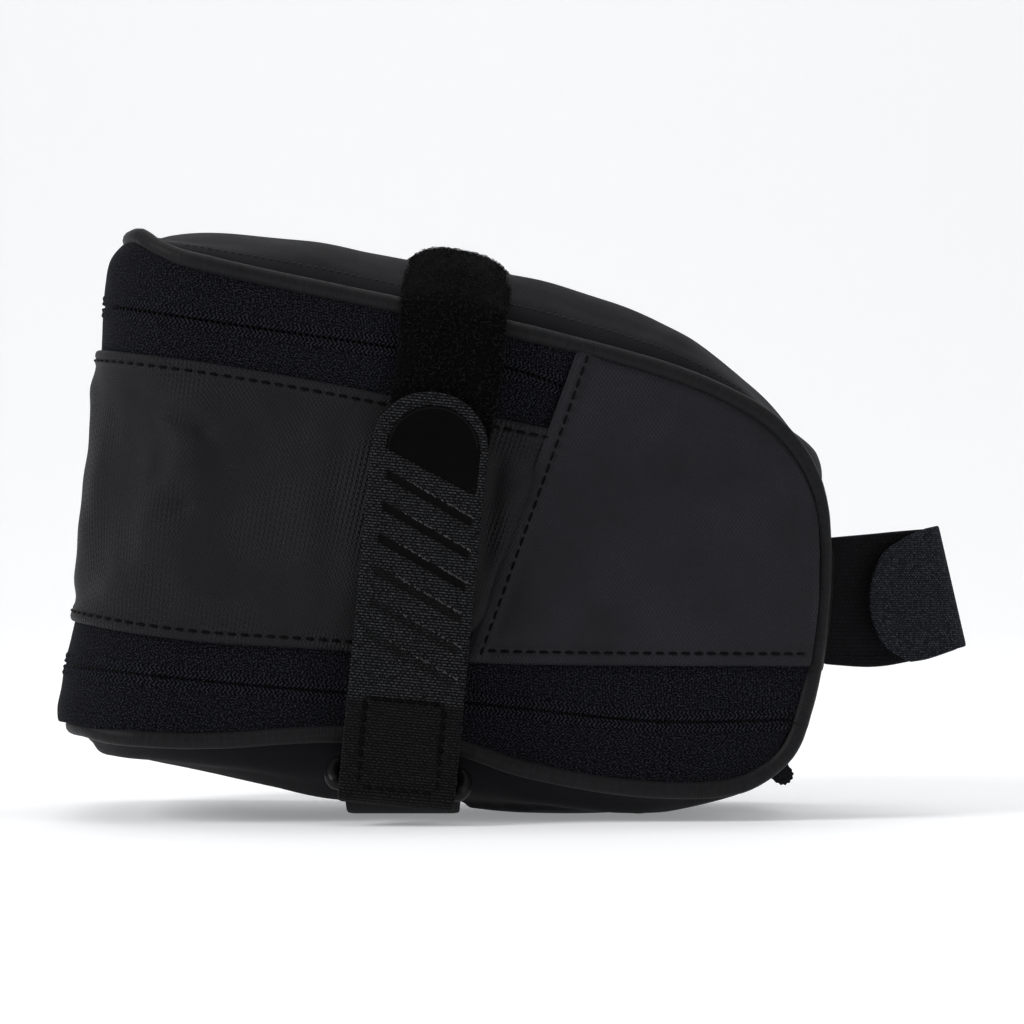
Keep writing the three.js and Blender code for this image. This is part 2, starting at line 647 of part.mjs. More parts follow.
function postStrapNear() {
  const leaf = polygon([[70.9, 62.3], [94.6, 64.6], [101, 38.4], [88, 34.6], [80, 33.4], [70.9, 33.8]]);
  const bend = new THREE.Shape();
  bend.absarc(0, 0, POST_BEND + WEBBING, -Math.PI / 2, Math.PI / 2);
  bend.absarc(0, 0, POST_BEND, Math.PI / 2, -Math.PI / 2, true);
  const length = 27;
  const fold = plateXY(bend, -length / 2, length)
    .rotateY(-POST_FOLD_LEAN)
    .translate(97.5, -POST_GAP - WEBBING - POST_BEND, 51.5);
  return geometryFrom(solidOf(plateXZ(leaf, -POST_GAP - WEBBING, WEBBING)).add(solidOf(fold)));
}

function postStrapEnd() {
  const shape = new THREE.Shape();
  shape.moveTo(93.9, 64.4);
  shape.lineTo(88.5, 62.4);
  shape.bezierCurveTo(76.5, 60.5, 76, 37, 88.5, 34.5);
  shape.lineTo(100.4, 38.4);
  return plateXZ(shape, -POST_GAP - 2 * WEBBING - 2 * POST_BEND, WEBBING);
}

function postStrapFar() {
  return plateXZ(polygon([[70.9, 61.5], [92, 62.5], [95, 37], [70.9, 34.5]]), POST_GAP, WEBBING);
}

function postStrap() {
  add("post_strap_near", "hooks", postStrapNear());
  add("post_strap_end", "webbing", postStrapEnd());
  add("post_strap_far", "pile", postStrapFar());
}

// The folded webbing tab in the front bottom corner.
function frontTab() {
  const half = TAB_THICKNESS / 2;
  const tab = polygon([[0, -half], [TAB_LENGTH, -half], [TAB_LENGTH, half], [0, half]]);
  const plate = plateXZ(tab, -TAB_WIDTH / 2, TAB_WIDTH);
  return plate.rotateY(TAB_PITCH).translate(TAB_ROOT.x, 0, TAB_ROOT.z);
}

// ---- zip sliders ----

const BAR_HEIGHT = SLIDER - 0.3 + BRIDGE - BRIDGE_BAR / 2;

// A slider with its bridge, made lying along X and facing +Y, with its base at y = 0 and the slit at z = 0.
function sliderBody() {
  const body = polygon([[-5, -2.4], [3, -3.8], [5, -3.2], [5, 3.2], [3, 3.8], [-5, 2.4]]);
  const bridge = polygon([[-3.8, 0], [3.8, 0], [3.8, BRIDGE], [-3.8, BRIDGE]]);
  const [low, high] = [0.3, BRIDGE - BRIDGE_BAR];
  bridge.holes.push(new THREE.Path([[-2.8, low], [2.8, low], [2.8, high], [-2.8, high]].map(toVector)));
  const arch = plateXY(bridge, -BRIDGE_BAR / 2, BRIDGE_BAR).translate(0, SLIDER - 0.3, 0);
  return geometryFrom(solidOf(plateXZ(body, 0, SLIDER)).add(solidOf(arch)));
}

// A pull that hangs behind the bridge's bar: a flat tongue whose top end passes through the bridge.
function pullBody(length) {
  const shape = new THREE.Shape();
  shape.moveTo(2, 0.9);
  shape.lineTo(-2, 0.9);
  shape.lineTo(-2.6, -length + 2.5);
  shape.absarc(0, -length + 2.5, 2.6, Math.PI, 2 * Math.PI);
  return plateXZ(shape, BAR_HEIGHT - 1.4, PULL);
}

// Places a slider and its pull on the +Y side, where a zip's slit runs from one x to another.
function slider(name, line, fromX, toX, pullLength) {
  const at = (x) => sidePoint(x, heightAt(line, x), TAPE + SLIDER_GAP, 1);
  const start = at(fromX);
  const way = at(toX).sub(start).normalize();
  const across = new THREE.Vector3(0, 0, 1).addScaledVector(way, -way.z).normalize();
  const out = new THREE.Vector3().crossVectors(across, way.clone().negate());
  const frame = new THREE.Matrix4().makeBasis(way.clone().negate(), out, across).setPosition(start);
  add(name + "_slider", "metal", sliderBody().applyMatrix4(frame));
  add(name + "_pull", "metal", pullBody(pullLength).applyMatrix4(frame));
}

sideWall();
add("front_side_panel_right", "laminate", frontSidePanel(-1));
add("front_side_panel_left", "laminate", frontSidePanel(1));
coverStrip();
piping();
wrapStrap();
postStrap();
add("front_webbing_tab", "webbing", frontTab());
slider("main_zip", mainSlit, 50, -10, 14);
slider("top_zip", topSlit, 4, -60, 11);

// The origin is on the ground under the middle of the whole.
const whole = new THREE.Box3().setFromObject(bag);
const middle = whole.getCenter(new THREE.Vector3());
bag.position.set(-middle.x, -middle.y, -whole.min.z);

export default bag;
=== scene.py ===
# Saddle bag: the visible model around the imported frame. Lengths are worked out in millimetres, in the pattern's own
# axes, and put into the row frame in metres by place().
import math

import bmesh
import bpy
import numpy as np
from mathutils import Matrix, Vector


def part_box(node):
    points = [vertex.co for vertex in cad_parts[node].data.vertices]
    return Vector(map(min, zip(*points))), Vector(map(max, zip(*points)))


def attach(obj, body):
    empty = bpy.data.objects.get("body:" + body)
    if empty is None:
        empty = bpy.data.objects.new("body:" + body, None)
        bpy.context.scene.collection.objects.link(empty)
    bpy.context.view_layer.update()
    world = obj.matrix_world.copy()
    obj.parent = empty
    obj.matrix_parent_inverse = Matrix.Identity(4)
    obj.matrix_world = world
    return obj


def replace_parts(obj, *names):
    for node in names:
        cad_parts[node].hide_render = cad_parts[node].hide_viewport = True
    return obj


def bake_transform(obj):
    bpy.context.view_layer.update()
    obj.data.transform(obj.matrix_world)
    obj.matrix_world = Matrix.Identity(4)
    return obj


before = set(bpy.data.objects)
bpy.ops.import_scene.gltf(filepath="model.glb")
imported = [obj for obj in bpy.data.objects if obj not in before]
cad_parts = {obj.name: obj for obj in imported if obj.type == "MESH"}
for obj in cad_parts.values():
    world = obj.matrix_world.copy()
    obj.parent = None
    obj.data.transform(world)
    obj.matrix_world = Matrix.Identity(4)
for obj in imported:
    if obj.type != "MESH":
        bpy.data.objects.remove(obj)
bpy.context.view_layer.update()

MM = 0.001

# The pattern's origin in the row frame: two nodes with a face at a known place in the pattern.
ORIGIN = np.array([
    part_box("post_strap_far")[0].x - 70.9 * MM,
    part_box("hook_pad")[1].y + 44.2 * MM,
    0.0,
])

# ---------------------------------------------------------------- pattern of the bag
HALF_WIDTH_REAR, HALF_WIDTH_FRONT = 40.0, 29.0
REAR_STATION, FRONT_STATION = -77.0, 65.0
CORNER_RADIUS, REAR_TOP_X, REAR_LEAN = 20.0, -89.4, 0.0975
SIDE_BULGE, REAR_TUCK, TUCK_REACH = 2.4, 2.3, 5.5
RIM_TOP = 129.2
PIPING_RADIUS = 2.0
TUCK_UNDER = 1.0  # how near the fabric edges come to the piping's middle line
PANEL = 1.6
RIM = [
    (-84.7, 129.2), (-78.6, 125.6), (-66, 122.1), (-28, 114.1), (4, 107.2), (34, 99), (46, 94), (55, 88.6),
    (61.5, 81.5), (65.3, 73.5), (66.9, 62), (66.1, 42.5), (62.4, 24), (59.3, 16), (54.1, 11), (46.8, 7.8),
    (26, 7.5), (1, 11.9), (-17, 17.6), (-42, 19.8), (-70, 18.4), (-92, 19.8), (-97, 21.0),
]
CROWN = [
    (-84.7, 130.8), (-78.6, 132.4), (-66, 132.8), (-28, 126.8), (4, 122.3), (36, 110.8), (48, 102.4), (58, 93.0),
    (65.4, 82.9), (68.4, 73), (69.5, 62), (68.6, 42.5), (64.8, 24), (61.2, 15.3), (55.7, 9.4), (48, 5.6),
    (27, 1.0), (1, 0.4), (-17, 1.9), (-42, 2.6), (-70, 8.2), (-92, 13.6), (-97, 16.4),
]
LAST, FOLD_SEAM = 22, 12.25  # places along RIM and CROWN, counted in points: the lower rear end and the front's fold
PANEL_TOP = [(-95, 105), (-47, 97.4), (8, 86.3)]
PANEL_BOTTOM = [(-98, 44.6), (-74, 40.6), (-40, 38.2), (-10, 35.4), (12, 34.8), (62, 34.4)]
MAIN_SLIT = [(-99, 34.8), (-65, 31.1), (-9, 26.3), (30, 22.3), (60, 22.6)]
# How far the rear stands out of its straight line at each height: the tapes billow and the panel hangs flatter
REAR_SWELL = [
    (20.5, 2.8), (24.5, 3.6), (29, 3.0), (34, 2.7), (39, 2.1), (45, 1.3), (54, 0.3), (68, 0), (76, -0.2), (83, -0.5),
    (90, 0.1), (97, 1.3), (104, 1.4), (113, 1.8), (122, 1.9), (126, 1.2), (129.2, 0.2),
]
TOP_SLIT = [(-92, 114.6), (-74, 111.2), (-2, 100), (13, 94.6)]
SEAM_FOOT, SEAM_HEAD = (-13.2, 34.5), (12.4, 102.3)
STRAP_WIDTH, LOOP_WIDTH = 25.0, 23.0
STRAP_TILT, HOOK_STRAP_X, HOOK_STRAP_Y, TIP_Z = math.radians(5.5), -26.6, -45.3, 95.0
STRAP_BAR, TAB_BAR = (-43.8, 7.6), (-38.9, 12.8)
LOOP_TILT, TOP_SLOPE = math.radians(4), 0.17
STITCH_PITCH, STITCH_LENGTH, THREAD = 2.85, 2.35, 0.27


class Spline:
    """The centripetal Catmull-Rom curve of the CAD, evaluated at point numbers."""

    def __init__(self, points):
        p = np.array(points, float)
        self.n = len(p)
        self.p = np.vstack([2 * p[0] - p[1], p, 2 * p[-1] - p[-2]])

    def at(self, s):
        s = np.clip(np.asarray(s, float), 0, self.n - 1)
        i = np.minimum(s.astype(int), self.n - 2)
        w = (s - i)[..., None]
        p0, p1, p2, p3 = (self.p[i + k] for k in range(4))
        d0, d1, d2 = (((b - a) ** 2).sum(-1)[..., None] ** 0.25 for a, b in ((p0, p1), (p1, p2), (p2, p3)))
        t1 = ((p1 - p0) / d0 - (p2 - p0) / (d0 + d1) + (p2 - p1) / d1) * d1
        t2 = ((p2 - p1) / d1 - (p3 - p1) / (d1 + d2) + (p3 - p2) / d2) * d1
        return p1 + t1 * w + (3 * (p2 - p1) - 2 * t1 - t2) * w**2 + (2 * (p1 - p2) + t1 + t2) * w**3

    def tangent(self, s):
        d = self.at(np.asarray(s, float) + 0.003) - self.at(np.asarray(s, float) - 0.003)
        return d / np.linalg.norm(d, axis=-1, keepdims=True)


def smooth_line(points):
    line = Spline(points).at(np.linspace(0, len(points) - 1, 41))
    return lambda x: np.interp(x, line[:, 0], line[:, 1])


rim, crown = Spline(RIM), Spline(CROWN)


def inset_rim(distance):
    s = np.arange(0, LAST, 0.05)
    p, a = rim.at(s), rim.tangent(s)
    q = p + np.stack([a[:, 1], -a[:, 0]], 1) * distance
    nose = int(q[:, 0].argmax())
    read = lambda line: (lambda x: np.interp(x, line[:, 0], line[:, 1]))
    return read(q[: nose + 1]), read(q[nose:][::-1]), q[nose, 0]


rim_top, rim_bottom, _ = inset_rim(0)
tuck_top, tuck_bottom, nose_x = inset_rim(TUCK_UNDER)
panel_top, panel_bottom = smooth_line(PANEL_TOP), smooth_line(PANEL_BOTTOM)
main_slit, top_slit, rear_swell = smooth_line(MAIN_SLIT), smooth_line(TOP_SLIT), smooth_line(REAR_SWELL)
TAPER = (HALF_WIDTH_FRONT - HALF_WIDTH_REAR) / (FRONT_STATION - REAR_STATION)
TAPER_ANGLE = math.atan(-TAPER)
REAR_SHARE, CORNER_SHARE = 0.13, 0.3


def wall_top(x):
    return np.minimum(tuck_top(x), RIM_TOP - TUCK_UNDER)


def seam_x(z):
    return SEAM_FOOT[0] + (SEAM_HEAD[0] - SEAM_FOOT[0]) * (z - SEAM_FOOT[1]) / (SEAM_HEAD[1] - SEAM_FOOT[1])


def half_width(x):
    return HALF_WIDTH_REAR + TAPER * (x - REAR_STATION)


def corner_at(z):
    x = REAR_TOP_X - REAR_LEAN * (RIM_TOP - z) + CORNER_RADIUS
    return x, half_width(x + CORNER_RADIUS * math.sin(TAPER_ANGLE)) - CORNER_RADIUS * math.cos(TAPER_ANGLE)


def smoothstep(x, a=0.0, b=1.0):
    x = np.clip((x - a) / (b - a), 0, 1)
    return x * x * (3 - 2 * x)


def plan(t, z, front):
    """The wall's base line at station t, from -1 at the front of the -Y side, by 0 at the rear, to 1."""
    t, z, front = np.broadcast_arrays(np.asarray(t, float), np.asarray(z, float), np.asarray(front, float))
    share, side = np.abs(t), np.where(t < 0, -1.0, 1.0)
    cx, cy = corner_at(z)
    turn = np.clip((share - REAR_SHARE) / (CORNER_SHARE - REAR_SHARE), 0, 1)
    angle = turn * (math.pi / 2 + TAPER_ANGLE)
    nx, ny = -np.cos(angle), side * np.sin(angle)
    x, y = cx + CORNER_RADIUS * nx, side * cy + CORNER_RADIUS * ny
    y = np.where(share < REAR_SHARE, side * cy * share / REAR_SHARE, y)
    along = np.clip((share - CORNER_SHARE) / (1 - CORNER_SHARE), 0, 1)
    x = x + (front - x) * along
    y = np.where(share > CORNER_SHARE, side * half_width(x), y)
    return x, y, nx, ny, smoothstep(turn)


def bulge(x, z, sideness):
    top = np.where(x < REAR_STATION, RIM_TOP, rim_top(x))
    bottom = rim_bottom(x)
    q = np.clip(2 * (z - bottom) / (top - bottom) - 1, -1, 1)
    tuck = np.maximum(0, 1 - (top - z) / TUCK_REACH) ** 2
    rear = rear_swell(z) - REAR_TUCK * tuck
    return sideness * SIDE_BULGE * (1 - q * q) + (1 - sideness) * rear


def wall(t, v, lower, upper, front, offset=0.0):
    """Points and normals of the side wall on the grid of stations t by height shares v."""
    t, v = np.asarray(t, float)[:, None], np.asarray(v, float)[None, :]
    z = lower(np.zeros_like(t)) * (1 - v) + upper(np.zeros_like(t)) * v
    for _ in range(12):
        x = plan(t, z, front(z, v))[0]
        z = lower(x) * (1 - v) + upper(x) * v
    x, y, nx, ny, sideness = plan(t, z, front(z, v))
    out = bulge(x, z, sideness) + offset
    nx, ny = np.broadcast_arrays(nx, ny)
    points = np.stack([x + nx * out, y + ny * out, np.broadcast_to(z, x.shape)], -1)
    return points, np.stack([nx, ny, np.zeros_like(nx)], -1)


def side_point(x, z, offset, side):
    out = bulge(x, z, 1) + offset
    y = side * (half_width(x) + out * math.cos(TAPER_ANGLE))
    return np.stack(np.broadcast_arrays(x + out * math.sin(TAPER_ANGLE), y, z), -1)


def strip_half_width(x, z, tuck):
    cx, cy = corner_at(z)
    turn = np.arccos(np.clip((cx - x) / CORNER_RADIUS, 0, 1)) / (math.pi / 2 + TAPER_ANGLE)
    radius = CORNER_RADIUS - tuck * (1 - smoothstep(turn)) - TUCK_UNDER
    wide = half_width(x) - TUCK_UNDER
    arc = cy + np.sqrt(np.maximum(0, radius**2 - (cx - x) ** 2))
    return np.where(x > cx, wide, np.minimum(wide, arc))


def crown_share(v):
    return np.minimum(1, 1.1 * np.maximum(1 - v * v, 0) ** 0.62)


def strip(seams, vs, tuck, offset=0.0):
    """Points of the strip over the top, front and bottom, moved out by offset."""
    s, v = np.asarray(seams, float)[:, None], np.asarray(vs, float)[None, :]
    r, c, along = rim.at(s[:, 0]), crown.at(s[:, 0]), crown.tangent(s[:, 0])
    share = crown_share(v)[..., None]
    xz = r[:, None, :] * (1 - share) + c[:, None, :] * share
    xz[..., 1] = np.maximum(xz[..., 1], 0)
    xz = xz + np.stack([-along[:, 1], along[:, 0]], -1)[:, None, :] * offset
    y = v * strip_half_width(r[:, 0], r[:, 1], tuck)[:, None]
    return np.stack([xz[..., 0], y, xz[..., 1]], -1)


# ---------------------------------------------------------------- mesh tools
def place(points):
    return np.asarray(points, float) * MM + ORIGIN


def grid_normals(p):
    du, dv = np.gradient(p, axis=0), np.gradient(p, axis=1)
    n = np.cross(du, dv)
    return n / np.maximum(np.linalg.norm(n, axis=-1, keepdims=True), 1e-9)


def facing(p, i, j, axis, sign=1):
    """The grid's normals, turned so that the one at (i, j) points along the axis, or against it with sign -1."""
    n = grid_normals(p)
    return n * np.sign(n[i, j, axis] * sign)


def lengths(line):
    """Distance along a line at each of its points."""
    return np.r_[0, np.cumsum(np.linalg.norm(np.diff(line, axis=0), axis=1))]


def at_length(at, s, line):
    """A line's values at distances along it, where s holds its points' distances."""
    return np.stack([np.interp(at, s, line[:, k]) for k in range(line.shape[1])], 1)


def arc_uv(p, from_last=False):
    """Real lengths in mm along and across a grid, as UV."""
    u = lengths(p[:, p.shape[1] // 2])
    v = np.concatenate([np.zeros((len(p), 1)), np.cumsum(np.linalg.norm(np.diff(p, axis=1), axis=-1), 1)], 1)
    if from_last:
        v = v[:, -1:] - v
    return np.stack([np.broadcast_to(u[:, None], v.shape), v], -1)


def make(name, verts, faces, uvs, material, slot, levels=0):
    """A mesh object from points in mm. uvs holds one pair per vertex, in mm."""
    mesh = bpy.data.meshes.new(name)
    mesh.from_pydata(place(verts).tolist(), [], [list(map(int, f)) for f in faces])
    if uvs is not None:
        layer = mesh.uv_layers.new(name="UVMap")
        index = np.zeros(len(mesh.loops), np.int32)
        mesh.loops.foreach_get("vertex_index", index)
        layer.data.foreach_set("uv", np.asarray(uvs, np.float32)[index].ravel())
    bm = bmesh.new()
    bm.from_mesh(mesh)
    bmesh.ops.recalc_face_normals(bm, faces=bm.faces)
    bm.to_mesh(mesh)
    bm.free()
    mesh.materials.append(material)
    mesh.polygons.foreach_set("use_smooth", [True] * len(mesh.polygons))
    obj = bpy.data.objects.new(name, mesh)
    bpy.context.scene.collection.objects.link(obj)
    if levels:
        mod = obj.modifiers.new("smooth", "SUBSURF")
        mod.levels = mod.render_levels = levels
    return obj


def closed_grid(outer, inner, uv, roll=0.35):
    """Vertices, faces and UVs of a closed sheet between two skins, whose edges are rounded by a middle row."""
    nu, nv = outer.shape[:2]
    edge = [(i, 0) for i in range(nu)] + [(nu - 1, j) for j in range(1, nv)]
    edge += [(i, nv - 1) for i in range(nu - 2, -1, -1)] + [(0, j) for j in range(nv - 2, 0, -1)]
    grid = np.arange(nu * nv).reshape(nu, nv)
    quads = np.stack([grid[:-1, :-1], grid[1:, :-1], grid[1:, 1:], grid[:-1, 1:]], -1).reshape(-1, 4)
    count = nu * nv
    faces = [*quads.tolist(), *(quads[:, ::-1] + count).tolist()]
    middle, uvs = [], []
    for i, j in edge:
        a, b = outer[i, j], inner[i, j]
        ii, jj = min(max(i, 1), nu - 2), min(max(j, 1), nv - 2)
        away = outer[i, j] - outer[ii, jj]
        away = away / max(np.linalg.norm(away), 1e-9) * np.linalg.norm(a - b) * roll
        middle.append((a + b) / 2 + away)
        uvs.append(uv[i, j])
    for k in range(len(edge)):
        m0, m1 = 2 * count + k, 2 * count + (k + 1) % len(edge)
        a0, a1 = grid[edge[k]], grid[edge[(k + 1) % len(edge)]]
        faces += [[m0, m1, a1, a0], [m1, m0, a0 + count, a1 + count]]
    verts = np.vstack([outer.reshape(-1, 3), inner.reshape(-1, 3), np.array(middle)])
    return verts, faces, np.vstack([uv.reshape(-1, 2), uv.reshape(-1, 2), np.array(uvs)])


def mark(obj, name, values):
    """A number for each point of a mesh, which its material reads. Points after the last value get 0."""
    layer = obj.data.attributes.new(name, "FLOAT", "POINT")
    full = np.zeros(len(obj.data.vertices), np.float32)
    full[: values.size] = values.ravel()
    layer.data.foreach_set("value", full)


def fabric(name, outer, normals, thickness, material, slot, uv=None, levels=1, roll=0.35):
    uv = arc_uv(outer) if uv is None else uv
    return make(name, *closed_grid(outer, outer - normals * thickness, uv, roll), material, slot, levels)


def sweep(path, radii, sides=12, closed=False):
    """A round tube along a path, with a radius for each ring and point: radii is (rings, sides) or a number."""
    n = len(path)
    tangent = np.gradient(path, axis=0) if not closed else np.roll(path, -1, 0) - np.roll(path, 1, 0)
    tangent /= np.maximum(np.linalg.norm(tangent, axis=1, keepdims=True), 1e-9)
    side = np.cross(tangent[0], [0.0, 0.3, 1.0])
    frames = []
    for t in tangent:
        side = side - t * (side @ t)
        side = side / np.linalg.norm(side)
        frames.append((side, np.cross(t, side)))
    angle = np.linspace(0, 2 * math.pi, sides, endpoint=False)
    radii = np.broadcast_to(np.asarray(radii, float), (n, sides))
    a, b = np.array([f[0] for f in frames]), np.array([f[1] for f in frames])
    ring = a[:, None] * (np.cos(angle) * radii)[..., None] + b[:, None] * (np.sin(angle) * radii)[..., None]
    verts = (path[:, None] + ring).reshape(-1, 3)
    faces = []
    for i in range(n if closed else n - 1):
        for k in range(sides):
            p, q = i * sides, ((i + 1) % n) * sides
            faces.append([p + k, p + (k + 1) % sides, q + (k + 1) % sides, q + k])
    if not closed:
        faces += [list(range(sides))[::-1], list(range((n - 1) * sides, n * sides))]
    length = lengths(path)
    uv = np.stack(np.broadcast_arrays(length[:, None], angle[None] * 2.0), -1).reshape(-1, 2)
    return verts, faces, uv


def noise1(length, step, seed, octaves=3):
    """Smooth random values along a row of positions in mm."""
    r = np.random.default_rng(seed)
    total = np.zeros(len(length))
    for o in range(octaves):
        knots = r.normal(size=int(length[-1] / (step / 2**o)) + 4)
        total += np.interp(length / (step / 2**o), np.arange(len(knots)), knots) / 2**o
    return total


class Batch:
    """Collects many small bodies into one mesh."""

    def __init__(self):
        self.verts, self.faces, self.uvs, self.count = [], [], [], 0

    def add(self, verts, faces, uvs=None):
        self.verts.append(np.asarray(verts, float))
        self.faces += [[i + self.count for i in f] for f in faces]
        self.uvs.append(np.zeros((len(verts), 2)) if uvs is None else uvs)
        self.count += len(verts)

    def build(self, name, material, slot, levels=0):
        return make(name, np.vstack(self.verts), self.faces, np.vstack(self.uvs), material, slot, levels)


def thread(batch, a, b, normal, radius=THREAD, sink=0.28):
    """One stitch from a to b: a short thread that dips into the cloth at both ends."""
    s = np.linspace(0, 1, 6)[:, None]
    lift = np.sin(math.pi * s) * (radius + sink) - sink
    path = a + (b - a) * s + normal * lift
    batch.add(*sweep(path, np.array([0.6, 1, 1.05, 1.05, 1, 0.6])[:, None] * radius, sides=6))


def stitch_row(batch, points, normals, pitch=STITCH_PITCH, length=STITCH_LENGTH, radius=THREAD):
    """Stitches along a dense line of points."""
    s = lengths(points)
    for start in np.arange(pitch * 0.4, s[-1] - length, pitch):
        at = [start, start + length]
        a, b = at_length(at, s, points)
        n = at_length([start], s, normals)[0]
        thread(batch, a, b, n / np.linalg.norm(n), radius)


# ---------------------------------------------------------------- materials
class Look:
    """A Principled material whose patterns are laid out in millimetres along and across the cloth."""

    def __init__(self, name, **sockets):
        self.mat = bpy.data.materials.new(name)
        self.mat.use_nodes = True
        self.tree = self.mat.node_tree
        self.shader = self.tree.nodes["Principled BSDF"]
        for key, value in sockets.items():
            self.shader.inputs[key.replace("_", " ")].default_value = value
        uv = self.node("UVMap", uv_map="UVMap").outputs[0]
        split = self.node("SeparateXYZ", {0: uv})
        self.uv, self.u, self.v = uv, split.outputs[0], split.outputs[1]
        where = self.node("TexCoord").outputs["Object"]
        self.where = self.node("VectorMath", {0: where, 3: 1000.0}, operation="SCALE").outputs[0]

    def node(self, kind, inputs=(), **props):
        node = self.tree.nodes.new("ShaderNode" + kind)
        for key, value in props.items():
            setattr(node, key, value)
        for key, value in dict(inputs).items():
            if isinstance(value, bpy.types.NodeSocket):
                self.tree.links.new(value, node.inputs[key])
            else:
                node.inputs[key].default_value = value
        return node

    def math(self, op, a, b=0.0, c=0.0):
        return self.node("Math", {0: a, 1: b, 2: c}, operation=op).outputs[0]

    def noise(self, scale, detail=2.0, vector=None, rough=0.6):
        inputs = {"Vector": vector or self.where, "Scale": scale, "Detail": detail, "Roughness": rough}
        return self.node("TexNoise", inputs).outputs["Fac"]

    def remap(self, value, low, high, to_low=0.0, to_high=1.0):
        inputs = {"Value": value, "From Min": low, "From Max": high, "To Min": to_low, "To Max": to_high}
        return self.node("MapRange", inputs).outputs[0]

    def wave(self, value, pitch):
        return self.math("SINE", self.math("MULTIPLY", value, 2 * math.pi / pitch))

    def times(self, a, b):
        return self.math("MULTIPLY", a, b)

    def plus(self, a, b):
        return self.math("ADD", a, b)

    def weave(self, width, height, gap, offset=0.5, smooth=0.2):
        """Dashes in rows, as threads that float over the weave: 1 on a dash and 0 between them."""
        inputs = {"Vector": self.uv, "Color1": (1, 1, 1, 1), "Color2": (1, 1, 1, 1), "Mortar": (0, 0, 0, 1),
                  "Scale": 1.0, "Mortar Size": gap, "Mortar Smooth": smooth,
                  "Brick Width": width, "Row Height": height}
        return self.node("TexBrick", inputs, offset=offset).outputs["Color"]

    def colour(self, fac, dark, light):
        mix = self.node("Mix", {0: fac, 6: (*dark, 1), 7: (*light, 1)}, data_type="RGBA")
        self.tree.links.new(mix.outputs[2], self.shader.inputs["Base Color"])

    def rough(self, fac, low, high):
        self.tree.links.new(self.remap(fac, 0, 1, low, high), self.shader.inputs["Roughness"])

    def bump(self, height, depth_mm):
        node = self.node("Bump", {"Height": height, "Strength": 1.0, "Distance": depth_mm * MM})
        self.tree.links.new(node.outputs[0], self.shader.inputs["Normal"])


def laminate_look(name, dots, ribs=0.0, base=0.011, rough=(0.48, 0.62), level=0.1, blue=1.12):
    """Coated polyester: a dobby grain of small raised dots shows through a matt film, here more, there less."""
    g = Look(name, Specular_IOR_Level=level, Sheen_Weight=0.005, Sheen_Roughness=0.5)
    grain = g.math("MAXIMUM", g.times(g.wave(g.u, 0.86), g.wave(g.v, 1.3)), 0.0)
    show = g.remap(g.noise(0.05, 1.5), 0.38, 0.6, 0.3, 1.0)
    grain = g.times(grain, show)
    fine = g.noise(2.6, 2.0)
    height = g.plus(g.times(grain, dots), g.times(fine, 0.3))
    tone = g.plus(g.times(g.noise(0.05, 3.0), 0.55), g.times(grain, 0.95 * dots))
    if ribs:
        line = g.wave(g.plus(g.u, g.times(g.noise(0.1, 1.0), 0.35)), 1.05)
        line = g.times(line, g.remap(g.noise(0.05, 1.0), 0.42, 0.6))
        height = g.plus(height, g.times(line, ribs))
        tone = g.plus(tone, g.times(line, 0.25 * ribs))
    g.bump(height, 0.24)
    dark, light = base * 0.45, base * 1.75
    g.colour(g.plus(tone, g.times(fine, 0.2)), (dark, dark, dark * blue), (light, light, light * blue))
    g.rough(g.noise(0.12, 4.0), *rough)
    return g.mat


def tape_look(name="zip_knit", step=0.1):
    """Knitted zip tape: a rough blue-black knit whose stitches catch the light one by one."""
    g = Look(name, Specular_IOR_Level=0.05, Sheen_Weight=0.004, Sheen_Roughness=0.6, Sheen_Tint=(0.6, 0.65, 0.85, 1))
    zig = g.math("PINGPONG", g.v, 0.8)
    rows = g.wave(g.plus(g.u, g.times(zig, 0.9)), 0.95)
    squeezed = g.node("CombineXYZ", {0: g.times(g.u, 0.8), 1: g.times(g.v, 1.25)}).outputs[0]
    specks = g.noise(2.3, 1.5, vector=squeezed, rough=0.7)
    loops = g.times(g.wave(g.plus(g.u, g.times(g.v, 0.45)), 0.72), g.wave(g.plus(g.v, g.times(g.u, -0.2)), 0.95))
    specks = g.plus(specks, g.times(loops, 0.075))
    height = g.plus(g.times(rows, step), g.times(specks, 2.0))
    g.bump(height, 0.22)
    tone = g.remap(g.plus(specks, g.times(rows, step * 0.3)), 0.47, 0.72)
    g.colour(tone, (0.0006, 0.0006, 0.0009), (0.027, 0.028, 0.037))
    g.rough(specks, 0.62, 0.95)
    return g.mat


def piping_look():
    """Thin laminate pulled round a cord: fine wrinkles run across it."""
    g = Look("piping_laminate", Specular_IOR_Level=0.1)
    across = g.node("CombineXYZ", {0: g.u, 1: g.times(g.v, 0.22)}).outputs[0]
    wrinkle = g.noise(1.1, 3.0, vector=across)
    ribs = g.wave(g.plus(g.u, g.times(wrinkle, 0.5)), 0.74)
    show = g.remap(g.noise(0.06, 1.0), 0.42, 0.6, 0.25, 1.0)
    g.bump(g.plus(g.times(wrinkle, 0.9), g.times(g.times(ribs, show), 0.10)), 0.14)
    g.colour(g.plus(wrinkle, g.times(g.times(ribs, show), 0.12)), (0.0048, 0.0049, 0.0054), (0.0138, 0.0140, 0.0153))
    g.rough(g.noise(0.4, 3.0), 0.42, 0.58)
    return g.mat


def pile_look(name, dark, light):
    g = Look(name, Specular_IOR_Level=0.05, Sheen_Weight=0.005)
    fuzz = g.noise(1.5, 3.0)
    g.bump(fuzz, 0.5)
    g.colour(g.remap(fuzz, 0.4, 0.8), dark, light)
    g.rough(fuzz, 0.75, 1.0)
    return g.mat


